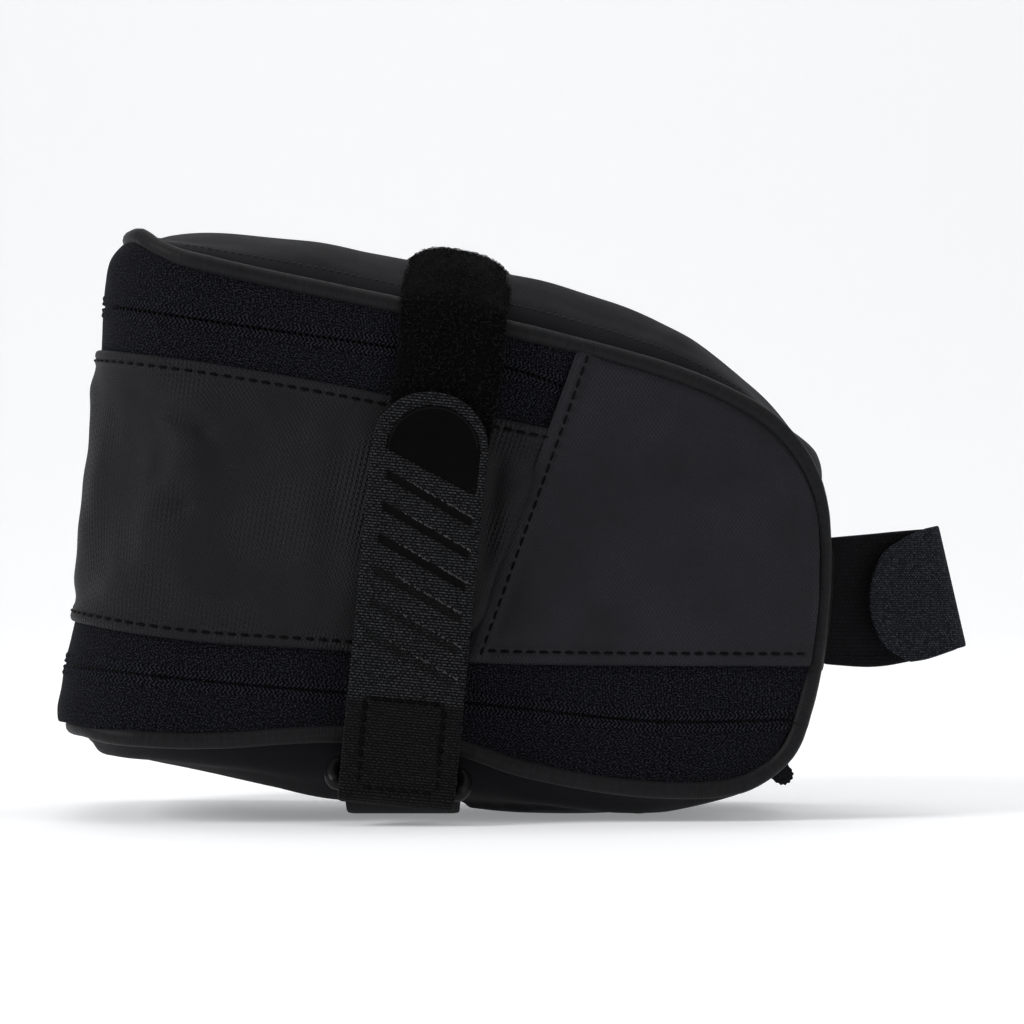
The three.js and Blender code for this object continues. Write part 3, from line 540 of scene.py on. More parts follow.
def strap_look():
    """The closing strap: rows of short floats, black in its slots and duller where it is doubled. The slots' black is
    their backing film deepened by painted shade, and the same mark paints shade along the box's stitch groove.
    """
    g = Look("strap_weave", Specular_IOR_Level=0.07, Sheen_Weight=0.01)
    slot = g.node("Attribute", attribute_name="slot").outputs["Fac"]
    doubled = g.node("Attribute", attribute_name="doubled").outputs["Fac"]
    mixed = g.noise(2.4, 1.5)
    shift = g.math("SUBTRACT", g.noise(0.9, 2.0), 0.5)
    moved = {0: g.plus(g.u, g.times(shift, 1.6)), 1: g.plus(g.v, g.times(shift, 0.22))}
    g.uv = g.node("CombineXYZ", moved).outputs[0]
    floats = g.weave(1.1, 0.62, 0.2, smooth=0.6)
    crown = g.math("ABSOLUTE", g.wave(g.plus(g.v, g.times(shift, 0.22)), 1.24))
    open_part = g.math("SUBTRACT", 1.0, slot)
    g.bump(g.times(g.plus(g.plus(g.times(floats, 0.6), g.times(crown, 0.5)), g.times(mixed, 0.4)), open_part), 0.12)
    bright = g.times(g.times(floats, g.times(crown, crown)), g.remap(mixed, 0.34, 0.7, 0.05, 1.0))
    bright = g.times(bright, g.math("SUBTRACT", 1.0, g.times(doubled, 0.62)))
    g.colour(g.times(bright, open_part), (0.0014, 0.0014, 0.0016), (0.058, 0.060, 0.065))
    g.rough(mixed, 0.55, 0.9)
    return g.mat


def webbing_look(name, dark, light, width, height, depth=0.12, gap=0.11, sheen=0.01):
    """Woven tape: rows of short floats, each a little different, with light flecks on some."""
    g = Look(name, Specular_IOR_Level=0.12, Sheen_Weight=sheen, Sheen_Roughness=0.4)
    floats = g.weave(width, height, gap)
    crown = g.math("ABSOLUTE", g.wave(g.v, 2 * height))
    mixed = g.noise(2.2, 2.0)
    g.bump(g.plus(g.plus(g.times(floats, 0.5), g.times(crown, 0.5)), g.times(mixed, 0.5)), depth)
    fleck = g.times(floats, g.remap(mixed, 0.44, 0.72))
    g.colour(fleck, dark, light)
    g.rough(mixed, 0.55, 0.9)
    return g.mat


def moulded_look(name, base, rough, grain=0.02, metallic=0.0, coat=0.0, level=0.12):
    g = Look(name, Metallic=metallic, Coat_Weight=coat, Coat_Roughness=0.12, Specular_IOR_Level=level)
    worn = g.noise(0.5, 4.0)
    g.bump(g.noise(4.0, 3.0), grain)
    g.colour(worn, [b * 0.8 for b in base], [b * 1.35 for b in base])
    g.rough(worn, *rough)
    return g.mat


def thread_look():
    g = Look("sewing_thread", Specular_IOR_Level=0.08)
    twist = g.wave(g.plus(g.u, g.times(g.v, 0.4)), 0.5)
    g.bump(twist, 0.06)
    g.colour(g.remap(g.noise(1.2, 2.0), 0.35, 0.7), (0.0008, 0.0008, 0.001), (0.004, 0.004, 0.0045))
    g.rough(g.noise(2.0, 1.0), 0.42, 0.62)
    return g.mat


LAMINATE = laminate_look("laminate_side", 1.0, ribs=0.36)
LAMINATE_FRONT = laminate_look("laminate_front", 0.55, base=0.0138, blue=1.22)
# The cover's laminate is darker than the sides': partly its own colour, partly painted shade for the bag's top and
# underside.
LAMINATE_TOP_SHADED = laminate_look("laminate_top_shaded", 0.35, base=0.0078, rough=(0.5, 0.64), level=0.04, blue=1.2)
KNIT, RIB, PIPING, THREADS = tape_look(), tape_look("zip_rib", 0.5), piping_look(), thread_look()
PILE = pile_look("loop_pile", (0.0005, 0.0005, 0.0006), (0.0026, 0.0026, 0.0029))
FIBRE = pile_look("loop_fibre", (0.002, 0.002, 0.0022), (0.034, 0.034, 0.036))
STRAP = strap_look()
WEBBING = webbing_look("patch_weave", (0.003, 0.003, 0.0032), (0.022, 0.022, 0.023), 1.25, 0.6)
TAPE_WEAVE = webbing_look("under_strap_weave", (0.003, 0.0031, 0.004), (0.024, 0.0247, 0.03), 1.6, 0.8)
FINE_WEAVE = webbing_look("fold_weave", (0.0055, 0.006, 0.008), (0.075, 0.079, 0.098), 0.62, 0.5, 0.1, 0.1)
FRAY = webbing_look("fray", (0.06, 0.06, 0.063), (0.30, 0.30, 0.32), 0.5, 0.42, 0.06, 0.09)
HOOKS = webbing_look("hook_tape", (0.0022, 0.0023, 0.003), (0.0125, 0.013, 0.016), 0.9, 0.9, 0.05)
# A grey far lighter than the black cloth and thread: a painted highlight, the line of light along the welt's ridge and
# the cover's stitches.
PAINTED_HIGHLIGHT = moulded_look("welt_painted_highlight", (0.028, 0.028, 0.03), (0.4, 0.55))
GRIP = moulded_look("grip_gloss", (0.0016, 0.0016, 0.0018), (0.16, 0.24), level=0.05)
PLASTIC = moulded_look("ring_plastic", (0.0045, 0.0045, 0.0048), (0.28, 0.42))
PAINTED = moulded_look("slider_paint", (0.012, 0.012, 0.013), (0.28, 0.42), metallic=0.6)
COIL = moulded_look("coil_nylon", (0.009, 0.009, 0.01), (0.25, 0.4))
FOAM = webbing_look("foam_facing", (0.006, 0.006, 0.0063), (0.02, 0.02, 0.021), 0.9, 0.9, 0.1)

# ---------------------------------------------------------------- cloth
CLOTH_SCALE = 0.02  # one mm of fabric is 20 mm in the simulation, which suits the solver


def relax(name, points, grow, pressure, bending=6.0, gravity=0.35, frames=22, cap=1.5):
    """How far each point of a panel moves along its normal when cloth cut a little too large is held at its seams."""
    nu, nv = points.shape[:2]
    scene = bpy.context.scene
    grid = np.arange(nu * nv).reshape(nu, nv)
    quads = np.stack([grid[:-1, :-1], grid[1:, :-1], grid[1:, 1:], grid[:-1, 1:]], -1).reshape(-1, 4)
    mesh = bpy.data.meshes.new(name + "_cloth")
    mesh.from_pydata((points.reshape(-1, 3) * CLOTH_SCALE).tolist(), [], quads.tolist())
    obj = bpy.data.objects.new(name + "_cloth", mesh)
    scene.collection.objects.link(obj)
    pins = obj.vertex_groups.new(name="pins")
    border = np.unique(np.r_[grid[0], grid[-1], grid[:, 0], grid[:, -1]])
    pins.add(border.tolist(), 1.0, "REPLACE")
    cloth = obj.modifiers.new("Cloth", "CLOTH")
    c = cloth.settings
    c.vertex_group_mass = "pins"
    c.quality = 6
    c.mass = 0.4
    c.air_damping = 4.0
    c.shrink_min = -grow
    c.bending_stiffness = bending
    c.use_pressure = pressure != 0
    c.uniform_pressure_force = pressure
    c.effector_weights.gravity = gravity
    cloth.collision_settings.use_collision = False
    cloth.point_cache.frame_end = frames
    for f in range(1, frames + 1):
        scene.frame_set(f)
    done = obj.evaluated_get(bpy.context.evaluated_depsgraph_get())
    co = np.zeros(nu * nv * 3)
    done.data.vertices.foreach_get("co", co)
    moved = (co.reshape(nu, nv, 3) / CLOTH_SCALE - points) * grid_normals(points)
    bpy.data.objects.remove(obj)
    scene.frame_set(1)
    return np.clip(moved.sum(-1), -cap, cap)


def resample(field, a, b, fine_a, fine_b):
    """A field on the grid a by b, read on the grid fine_a by fine_b, and smoothed a little."""
    rows = np.stack([np.interp(fine_a, a, field[:, j]) for j in range(len(b))], 1)
    out = np.stack([np.interp(fine_b, b, rows[i]) for i in range(len(fine_a))], 0)
    for _ in range(2):
        padded = np.pad(out, 1, mode="edge")
        out = (padded[:-2, 1:-1] + padded[2:, 1:-1] + padded[1:-1, :-2] + padded[1:-1, 2:] + 2 * out) / 6
    return out


def ripple(points, scale, seed):
    """A smooth random field over points in mm, about -1 to 1."""
    r = np.random.default_rng(seed)
    total = np.zeros(points.shape[:-1])
    for _ in range(7):
        k = r.normal(size=3) / scale
        total += np.sin(points @ k * 2.2 + r.uniform(0, 6.28))
    return total / 3.2


# ---------------------------------------------------------------- side wall
def stations(side, corner, rear):
    half = np.r_[np.linspace(1, CORNER_SHARE, side, endpoint=False),
                 np.linspace(CORNER_SHARE, REAR_SHARE, corner, endpoint=False),
                 np.linspace(REAR_SHARE, 0, rear, endpoint=False)]
    return np.r_[-half, 0, half[::-1]]


def shares(height, spacing, near=(0, 0.35, 0.8, 1.3, 1.8, 2.2, 2.6, 3.0, 3.5, 4.4)):
    """Rows that are close together near both edges, for the hem and the stitch line."""
    middle = np.arange(near[-1] + spacing, height - near[-1] - spacing * 0.5, spacing)
    return np.unique(np.r_[near, middle, height - np.array(near)]) / height


HEM_ROW = 2.2  # a hem's stitch line, from the fabric's edge


def hem(d, width=3.0, lift=0.42, groove=0.34, row=HEM_ROW):
    """Height of a folded and sewn edge at distance d from it."""
    out = lift * (1 - smoothstep(d, width - 0.3, width + 0.5))
    out = out - groove * np.exp(-(((d - row) / 0.38) ** 2))
    return out - 0.4 * (1 - smoothstep(d, 0, 0.7))


stitches = {"shell": Batch(), "tray": Batch()}
FINE = stations(84, 18, 22)
COARSE = stations(46, 9, 10)


def stitch_on(body, points, normals, pitch=STITCH_PITCH, length=STITCH_LENGTH, radius=THREAD):
    stitch_row(stitches[body], points, normals, pitch, length, radius)


def dent(points, centre, size, depth):
    """A soft hollow of the given size and depth, on the -Y side at centre (x, z)."""
    near = points[..., 1] < 0
    r = ((points[..., 0] - centre[0]) / size[0]) ** 2 + ((points[..., 2] - centre[1]) / size[1]) ** 2
    return -depth * np.exp(-r) * near


def groove(points, line, width, depth):
    """A soft crease on the -Y side along a line of (x, z) points, which fades at both ends."""
    best, share = np.full(points.shape[:-1], 99.0), np.zeros(points.shape[:-1])
    q = points[..., [0, 2]]
    for i, (a, b) in enumerate(zip(np.array(line[:-1]), np.array(line[1:]))):
        t = np.clip(((q - a) @ (b - a)) / ((b - a) @ (b - a)), 0, 1)
        d = np.linalg.norm(q - a - t[..., None] * (b - a), axis=-1)
        share = np.where(d < best, (i + t) / (len(line) - 1), share)
        best = np.minimum(best, d)
    fade = smoothstep(np.minimum(share, 1 - share), 0.0, 0.25) * 0.8 + 0.2
    return -depth * np.exp(-((best / width) ** 2)) * fade * (points[..., 1] < 0)


CREASES = [  # a line of (x, z) points, width and depth
    ([(-81.9, 92.3), (-73.4, 89), (-66.1, 83.8)], 1.8, 2.1),
    ([(-82.2, 91.0), (-79, 85), (-78.4, 79.8), (-81, 71.3)], 1.4, 1.9),
    ([(-78, 71.0), (-74.7, 69.3), (-72.4, 70.2)], 1.0, 1.9),
    ([(-4.5, 84), (-6.5, 70), (-8.5, 52)], 2.2, 1.3),
    ([(-40, 88), (-41, 66), (-43, 46)], 3.5, 0.6),
]
DENTS = [((-72.5, 79), (4.5, 7), -1.4), ((-60, 62), (13, 9), 0.9)]  # centre, size and depth, below 0 for a swelling


def main_panel():
    front = lambda z, v: seam_x(z) + 1.8
    vs = shares(62.0, 1.7)
    p, n = wall(FINE, vs, panel_bottom, panel_top, front)
    coarse_v = np.linspace(0, 1, 22)
    q, _ = wall(COARSE, coarse_v, panel_bottom, panel_top, front)
    soft = resample(relax("main_panel", q, 0.02, 0.6), COARSE, coarse_v, FINE, vs)
    high = panel_top(p[..., 0]) - p[..., 2]
    low = p[..., 2] - panel_bottom(p[..., 0])
    inner = smoothstep(np.minimum(high, low), 2.6, 9)
    lap = (1 - smoothstep(seam_x(p[..., 2]) - p[..., 0], -1.5, 1.0)) * 0.55
    out = PANEL + soft * inner + hem(high) + hem(low) - lap
    out = out + inner * (0.4 * ripple(p, 16, 3) + 0.14 * ripple(p, 6, 4))
    for line, width, depth in CREASES:
        out = out + inner * groove(p, line, width, depth)
    for centre, size, depth in DENTS:
        out = out + inner * dent(p, centre, size, depth)
    outer = p + n * out[..., None]
    piece = fabric("fabric_main_panel", outer, n, 0.8, LAMINATE, "laminate")
    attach(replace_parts(piece, "main_panel"), "shell")
    for d in (high, low):
        j = int(np.abs(d[len(FINE) // 4] - HEM_ROW).argmin())
        stitch_on("shell", outer[:, j], n[:, j])


def taped(name, node, body, lower, upper, front, slit_at_top, rows):
    vs = np.linspace(0, 1, rows)
    p, n = wall(FINE, vs, lower, upper, front)
    wavy = 0.12 * ripple(p, 9, 11) + 0.06 * ripple(p, 3.5, 12)
    outer = p + n * (0.72 + wavy)[..., None]
    piece = fabric(name, outer, n, 0.6, KNIT, "zip_tape", arc_uv(outer, slit_at_top), roll=0.2)
    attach(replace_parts(piece, node), body)


COIL_PITCH = 1.3


def fine_stations(count):
    """As many stations as asked for, spread along the wall as FINE is."""
    return np.interp(np.linspace(0, 1, count), np.linspace(0, 1, len(FINE)), FINE)


def zip_ribs(name, body, slit, side, front):
    """The two ribs that the coil's stitching raises along one side of a slit."""
    rows = np.array([0.34, 0.46, 0.66, 0.98, 1.22, 1.5, 1.9, 2.24, 2.46])
    near, far = (lambda x: slit(x) + side * rows[0]), (lambda x: slit(x) + side * rows[-1])
    p, n = wall(fine_stations(1500), (rows - rows[0]) / (rows[-1] - rows[0]), near, far, front)
    uv = arc_uv(p)
    bead = np.array([0.0, 0.75, 1.0, 0.55, 0.12, 0.6, 1.0, 0.7, -0.1])
    slant = uv[..., 0] + np.abs(rows - 1.2)[None] * 0.9
    rib = 0.5 + 0.5 * np.sin(slant * 2 * math.pi / COIL_PITCH)
    outer = p + n * (0.76 + 0.27 * bead * (0.25 + 0.75 * rib) + 0.12 * ripple(p, 9, 11))[..., None]
    piece = fabric(name, outer, n, 0.5, RIB, "zip_tape", uv, levels=0, roll=0.0)
    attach(piece, body)


def coil(name, node, body, slit, side, front):
    """A nylon spiral along one side of a slit, on the inner face, whose heads reach across it."""
    near, far = (lambda x: slit(x) + side * 0.7), (lambda x: slit(x) + side * 0.9)
    middle, n = wall(fine_stations(400), [0.0, 1.0], near, far, front)
    line, n = middle[:, 0], n[:, 0]
    s = lengths(line)
    turns, per = int(s[-1] / COIL_PITCH), 8
    a = np.arange(turns * per) / per
    at = a * COIL_PITCH + (COIL_PITCH / 2 if side < 0 else 0)
    c, m = at_length(at, s, line), at_length(at, s, n)
    angle = a * 2 * math.pi
    path = c + np.array([0, 0, side]) * (np.cos(angle) * 1.05)[:, None] - m * (0.25 + 0.5 * np.sin(angle))[:, None]
    piece = make(name, *sweep(path, 0.27, sides=5), COIL, "coil")
    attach(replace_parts(piece, node), body)


def side_wall():
    main_panel()
    up = lambda line, d: (lambda x: line(x) + d)
    to_seam = lambda z, v: seam_x(z) + 1.5
    upper_nose = lambda z, v: 61.0 + 3.2 * v
    lower_nose = lambda z, v: 55.6 + 5.4 * v + 3.4 * v * (1 - v)
    gap, lap = 0.34, 1.6  # half the slit, and how far a tape runs in under the panel
    taped("tape_top_upper", "top_zip_tape_upper", "shell", up(top_slit, gap), wall_top, to_seam, False, 12)
    taped("tape_top_lower", "top_zip_tape_lower", "shell", up(panel_top, -lap), up(top_slit, -gap), to_seam, True, 8)
    main_upper = up(main_slit, gap), up(panel_bottom, lap)
    taped("tape_main_upper", "main_zip_tape_upper", "shell", *main_upper, upper_nose, False, 9)
    taped("tape_main_lower", "main_zip_tape_lower", "tray", tuck_bottom, up(main_slit, -gap), lower_nose, True, 12)
    halves = [
        ("top", "upper", "shell", top_slit, 1), ("top", "lower", "shell", top_slit, -1),
        ("main", "upper", "shell", main_slit, 1), ("main", "lower", "tray", main_slit, -1),
    ]
    ribs_end = {"top": lambda z, v: seam_x(z) - 1.0, "main": lambda z, v: 59.5}
    coil_end = {"top": lambda z, v: seam_x(z) - 0.3, "main": lambda z, v: 60.5}
    for zipper, half, body, slit, side in halves:
        zip_ribs(f"ribs_{zipper}_{half}", body, slit, side, ribs_end[zipper])
    for zipper, half, body, slit, side in halves:
        coil(f"coil_{zipper}_{half}", f"{zipper}_zip_coil_{half}", body, slit, side, coil_end[zipper])
    foam_front = lambda z, v: seam_x(z) - 3
    vs = np.linspace(0, 1, 22)
    p, n = wall(COARSE, vs, up(panel_bottom, 3), up(panel_top, -3), foam_front, -2.1)
    piece = fabric("foam_side", p + n * (0.15 * ripple(p, 8, 21))[..., None], n, 1.8, FOAM, "foam")
    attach(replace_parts(piece, "side_foam"), "shell")


SEAM_ROW, FOOT_ROW = 2.9, 2.8  # the front panel's stitch lines, from its slanting seam and its lower hem


def front_side_panel(name, node, side):
    def edges(u):
        foot_x, head_x = (seam[0] + (nose_x - 0.3 - seam[0]) * u[:, None] for seam in (SEAM_FOOT, SEAM_HEAD))
        return foot_x, head_x, np.maximum(tuck_bottom(foot_x), panel_bottom(foot_x) + 0.1), wall_top(head_x)

    near_seam = np.array([0, 0.4, 0.9, 1.4, 1.9, 2.3, 2.7, 3.2, 4.0]) / 62
    us = np.unique(np.r_[near_seam, np.linspace(0.08, 0.9, 34), np.linspace(0.91, 1, 17)])
    vs = shares(58.0, 1.8)
    foot_x, head_x, foot, head = edges(us)
    x, z = foot_x + (head_x - foot_x) * vs, foot + (head - foot) * vs
    slant = math.cos(math.atan((SEAM_HEAD[0] - SEAM_FOOT[0]) / (SEAM_HEAD[1] - SEAM_FOOT[1])))
    d_seam, d_foot, d_hem = (x - seam_x(z)) * slant, z - foot, z - panel_bottom(x)
    base = side_point(x, z, 0.0, side)
    normal = np.broadcast_to(np.array([math.sin(TAPER_ANGLE), side * math.cos(TAPER_ANGLE), 0]), base.shape)
    cu, cv = np.linspace(0, 1, 30), np.linspace(0, 1, 28)
    fx, hx, ft, hd = edges(cu)
    coarse = side_point(fx + (hx - fx) * cv, ft + (hd - ft) * cv, 0.0, side)
    soft = resample(relax(name, coarse, 0.012, 0.5 * -side), cu, cv, us, vs)
    soft = soft if side < 0 else -soft
    rim_fade = smoothstep(np.minimum.reduce([head - z, nose_x - x, d_seam, d_foot]), 1.5, 8)
    out = PANEL + 0.45 * (1 - smoothstep(d_seam, 2.6, 5))
    out = out + hem(d_seam, row=SEAM_ROW, width=3.6) + hem(d_hem, row=FOOT_ROW, width=3.6)
    out = out + rim_fade * (np.abs(soft) * 0.6 + 0.34 * ripple(base, 15, 30) + 0.10 * ripple(base, 5, 31))
    out = out - 0.9 * (1 - smoothstep(np.minimum(head - z, nose_x - x), 0, 2.4))
    outer = base + normal * out[..., None]
    uv = np.stack([x, z], -1)
    piece = fabric(name, outer, normal, 0.8, LAMINATE_FRONT, "laminate", uv)
    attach(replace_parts(piece, node), "shell")
    i = int(np.abs(d_seam[:, 10] - SEAM_ROW).argmin())
    stitch_on("shell", outer[i, 1:], normal[i, 1:])
    row = [a for a in range(i, len(us)) if np.interp(FOOT_ROW, d_hem[a], x[a]) < 63.4]
    line = np.array([[np.interp(FOOT_ROW, d_hem[a], outer[a, :, k]) for k in range(3)] for a in row])
    stitch_on("shell", line, normal[row, 0])


# ---------------------------------------------------------------- strip and piping
ACROSS = np.unique(np.r_[-1, -0.985, -0.96, -0.93, -0.89, np.linspace(-0.84, 0.84, 33), 0.89, 0.93, 0.96, 0.985, 1])


def across_fold(obj):
    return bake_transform(obj)


def strip_piece(name, seams, tuck, material, seed, cap=1.3):
    coarse_s, coarse_v = np.linspace(seams[0], seams[-1], 110), np.linspace(-1, 1, 22)
    coarse = strip(coarse_s, coarse_v, np.interp(coarse_s, seams, tuck))
    soft = resample(relax(name, coarse, 0.018, -0.7), coarse_s, coarse_v, seams, ACROSS)
    p = strip(seams, ACROSS, tuck)
    n = facing(p, len(seams) // 5, len(ACROSS) // 2, 2)
    soft = soft * np.sign(grid_normals(coarse)[22, 11, 2])
    s = np.linspace(0, 1, len(seams))[:, None]
    fade = smoothstep(1 - np.abs(ACROSS)[None], 0.02, 0.3) * smoothstep(np.minimum(s, 1 - s), 0, 0.03)
    out = fade * (soft * 0.8 + 0.34 * ripple(p, 20, seed) + 0.14 * ripple(p, 8, seed + 1))
    out = np.clip(out + fade * 0.35 * crease(p, seed), -cap, cap) * (p[..., 2] > 1.5)
    out = out + 1.1 * fade * np.exp(-(((p[..., 0] + 43) / 11) ** 2)) * (p[..., 2] > 100)
    outer = p + n * (out - 0.15)[..., None]
    outer[..., 2] = np.maximum(outer[..., 2], 0.0)
    return fabric(name, outer, n, 0.8, material, "laminate"), outer, n


def crease(p, seed):
    """A few soft folds that run in from the edges of the cover."""
    r = np.random.default_rng(seed)
    total = np.zeros(p.shape[:2])
    for _ in range(14):
        x, side, angle = r.uniform(-80, 62), r.choice([-1, 1]), r.uniform(-0.6, 0.6)
        along = (p[..., 0] - x) * math.cos(angle) + (side * p[..., 1] - 30) * math.sin(angle)
        reach = np.exp(-((side * p[..., 1] - r.uniform(18, 34)) / r.uniform(7, 14)) ** 2)
        total -= np.exp(-((along / r.uniform(1.2, 2.6)) ** 2)) * reach * (p[..., 2] > 60)
    return total


def cover():
    seams = np.linspace(0, LAST, 330)
    tuck = np.where(seams < FOLD_SEAM, REAR_TUCK, 0.0)
    # The cover's darker laminate is partly painted shade on the top and underside.
    piece, outer, n = strip_piece("fabric_cover", seams, tuck, LAMINATE_TOP_SHADED, 40)
    rows, inner_row = (seams > 1.3) & (seams < 6.4), Batch()
    for share in (-0.9, 0.9):
        j = int(np.abs(ACROSS - share).argmin())
        stitch_row(inner_row, outer[rows, j], n[rows, j], 1.7, 1.5, 0.11)
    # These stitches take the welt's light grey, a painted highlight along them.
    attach(inner_row.build("cover_stitch", PAINTED_HIGHLIGHT, "webbing"), "shell")
    across_fold(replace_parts(piece, "top_panel", "front_panel", "bottom_panel"))
    board = strip(np.linspace(16, 20, 30), np.linspace(-0.55, 0.55, 30), 0.0)
    n = facing(board, 15, 15, 2, -1)
    piece = fabric("stiffener_board", board - n * 2.7, n, 1.8, FOAM, "foam")
    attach(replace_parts(piece, "bottom_stiffener"), "tray")
    vs = np.linspace(-0.4, 0.4, 20)
    seams = np.linspace(10.15, 11.5, 24)
    patch = strip(seams, vs, 0.0, 0.45)
    n = facing(patch, 12, 10, 0)
    piece = fabric("post_patch", patch + n * 0.9, n, 1.1, WEBBING, "webbing")
    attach(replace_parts(piece, "post_strap_patch"), "shell")
    outline = [patch[1, 1:-1], patch[1:-1, -2], patch[-2, 1:-1][::-1], patch[1:-1, 1][::-1]]
    for row, m in zip(outline, (n[1, 1:-1], n[1:-1, -2], n[-2, 1:-1][::-1], n[1:-1, 1][::-1])):
        stitch_on("shell", row + m * 0.85, m, radius=0.18)


def piping_half(from_seam, to_seam, height, tuck):
    """The piping's middle line on the -Y side from the fold to the rear corner, as the CAD has it."""
    cx, _ = corner_at(height(REAR_STATION))
    corner_x = cx + CORNER_RADIUS * math.sin(TAPER_ANGLE)
    s = np.linspace(from_seam, to_seam, 27)
    p = rim.at(s)
    stop = int(np.argmax(p[:, 0] < corner_x + 2)) if (p[:, 0] < corner_x + 2).any() else len(p)
    near = [(x, -half_width(x), z) for x, z in p[:stop]]
    for t in -np.linspace(CORNER_SHARE, REAR_SHARE, 6):
        x = float(plan(t, height(REAR_STATION), corner_x)[0])
        x, y, nx, ny, sideness = (float(a) for a in plan(t, height(x), corner_x))
        near.append((x - nx * (1 - sideness) * tuck, y - ny * (1 - sideness) * tuck, float(height(x))))
    return near


WELT_INSET, WELT_RISE, WELT_RADIUS = 2.3, 1.25, 0.2  # a fine ridge of cloth just inside the piping


def piping():
    top = lambda x: RIM_TOP if x < RIM[0][0] else float(rim_top(x))
    upper = piping_half(FOLD_SEAM, 0, top, REAR_TUCK)
    lower = piping_half(FOLD_SEAM, LAST, lambda x: float(rim_bottom(x)), 0.0)
    mirror = lambda line: [(x, -y, z) for x, y, z in line[::-1]]
    upper_loop, lower_loop = upper + mirror(upper), lower + mirror(lower)
    loop = upper_loop + lower_loop[::-1][1:-1]
    line = Spline(loop + loop[:1]).at(np.linspace(0, len(loop), 2600))
    s = lengths(line)
    at = np.linspace(0, s[-1], 1500, endpoint=False)
    line = at_length(at, s, line)
    around = np.linspace(0, 2 * math.pi, 14, endpoint=False)
    wrinkle = noise1(at, 2.2, 5)[:, None] * (0.5 + 0.5 * np.cos(around - 0.7)) * 0.035
    wrinkle = wrinkle + noise1(at, 14.0, 6)[:, None] * 0.04
    radii = PIPING_RADIUS + np.clip(wrinkle, -0.22, 0.2)
    piece = make("piping", *sweep(line, radii, 14, closed=True), PIPING, "piping")
    across_fold(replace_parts(piece, "piping_upper", "piping_lower"))
    lip = Batch()
    seams = np.linspace(2.0, 11.6, 330)
    p, along = rim.at(seams), rim.tangent(seams)
    y = half_width(p[:, 0]) - WELT_INSET
    rise = np.stack([-along[:, 1], 0 * y, along[:, 0]], 1) * WELT_RISE
    for side in (-1, 1):
        lip.add(*sweep(np.stack([p[:, 0], side * y, p[:, 1]], 1) + rise, WELT_RADIUS, 8))
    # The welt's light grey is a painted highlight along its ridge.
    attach(lip.build("piping_welt", PAINTED_HIGHLIGHT, "piping"), "shell")


# ---------------------------------------------------------------- straps
def ribbon_grid(line, across, spacing=0.8):
    """A strap's middle surface: line is (y, z) points, across the places along X. Gives points and normals."""
    spline = Spline(line)
    dense = spline.at(np.linspace(0, spline.n - 1, 900))
    s = lengths(dense)
    at = np.linspace(0, s[-1], max(8, int(s[-1] / spacing)))
    yz = at_length(at, s, dense)
    d = np.gradient(yz, axis=0)
    d /= np.linalg.norm(d, axis=1, keepdims=True)
    x = np.broadcast_to(np.asarray(across, float)[None], (len(yz), len(across)))
    p = np.stack([x, np.broadcast_to(yz[:, :1], x.shape), np.broadcast_to(yz[:, 1:], x.shape)], -1)
    n = np.broadcast_to(np.stack([0 * d[:, 0], d[:, 1], -d[:, 0]], 1)[:, None], p.shape)
    return p, n


LOOP_LINE = [
    (43, 100.5), (42.8, 103), (41.6, 107.5), (38.6, 113), (33, 116.8), (26, 120.6), (14, 124.3), (0, 125.3),
    (-14, 124.3), (-26, 120.6), (-33, 116.8), (-38.1, 113), (-39.9, 107.5), (-41, 100), (-41.3, 85), (-41.3, 62),
]
ANCHOR_LINE = [(41.2, 62), (41.4, 79), (43, 90), (43, 99.7)]


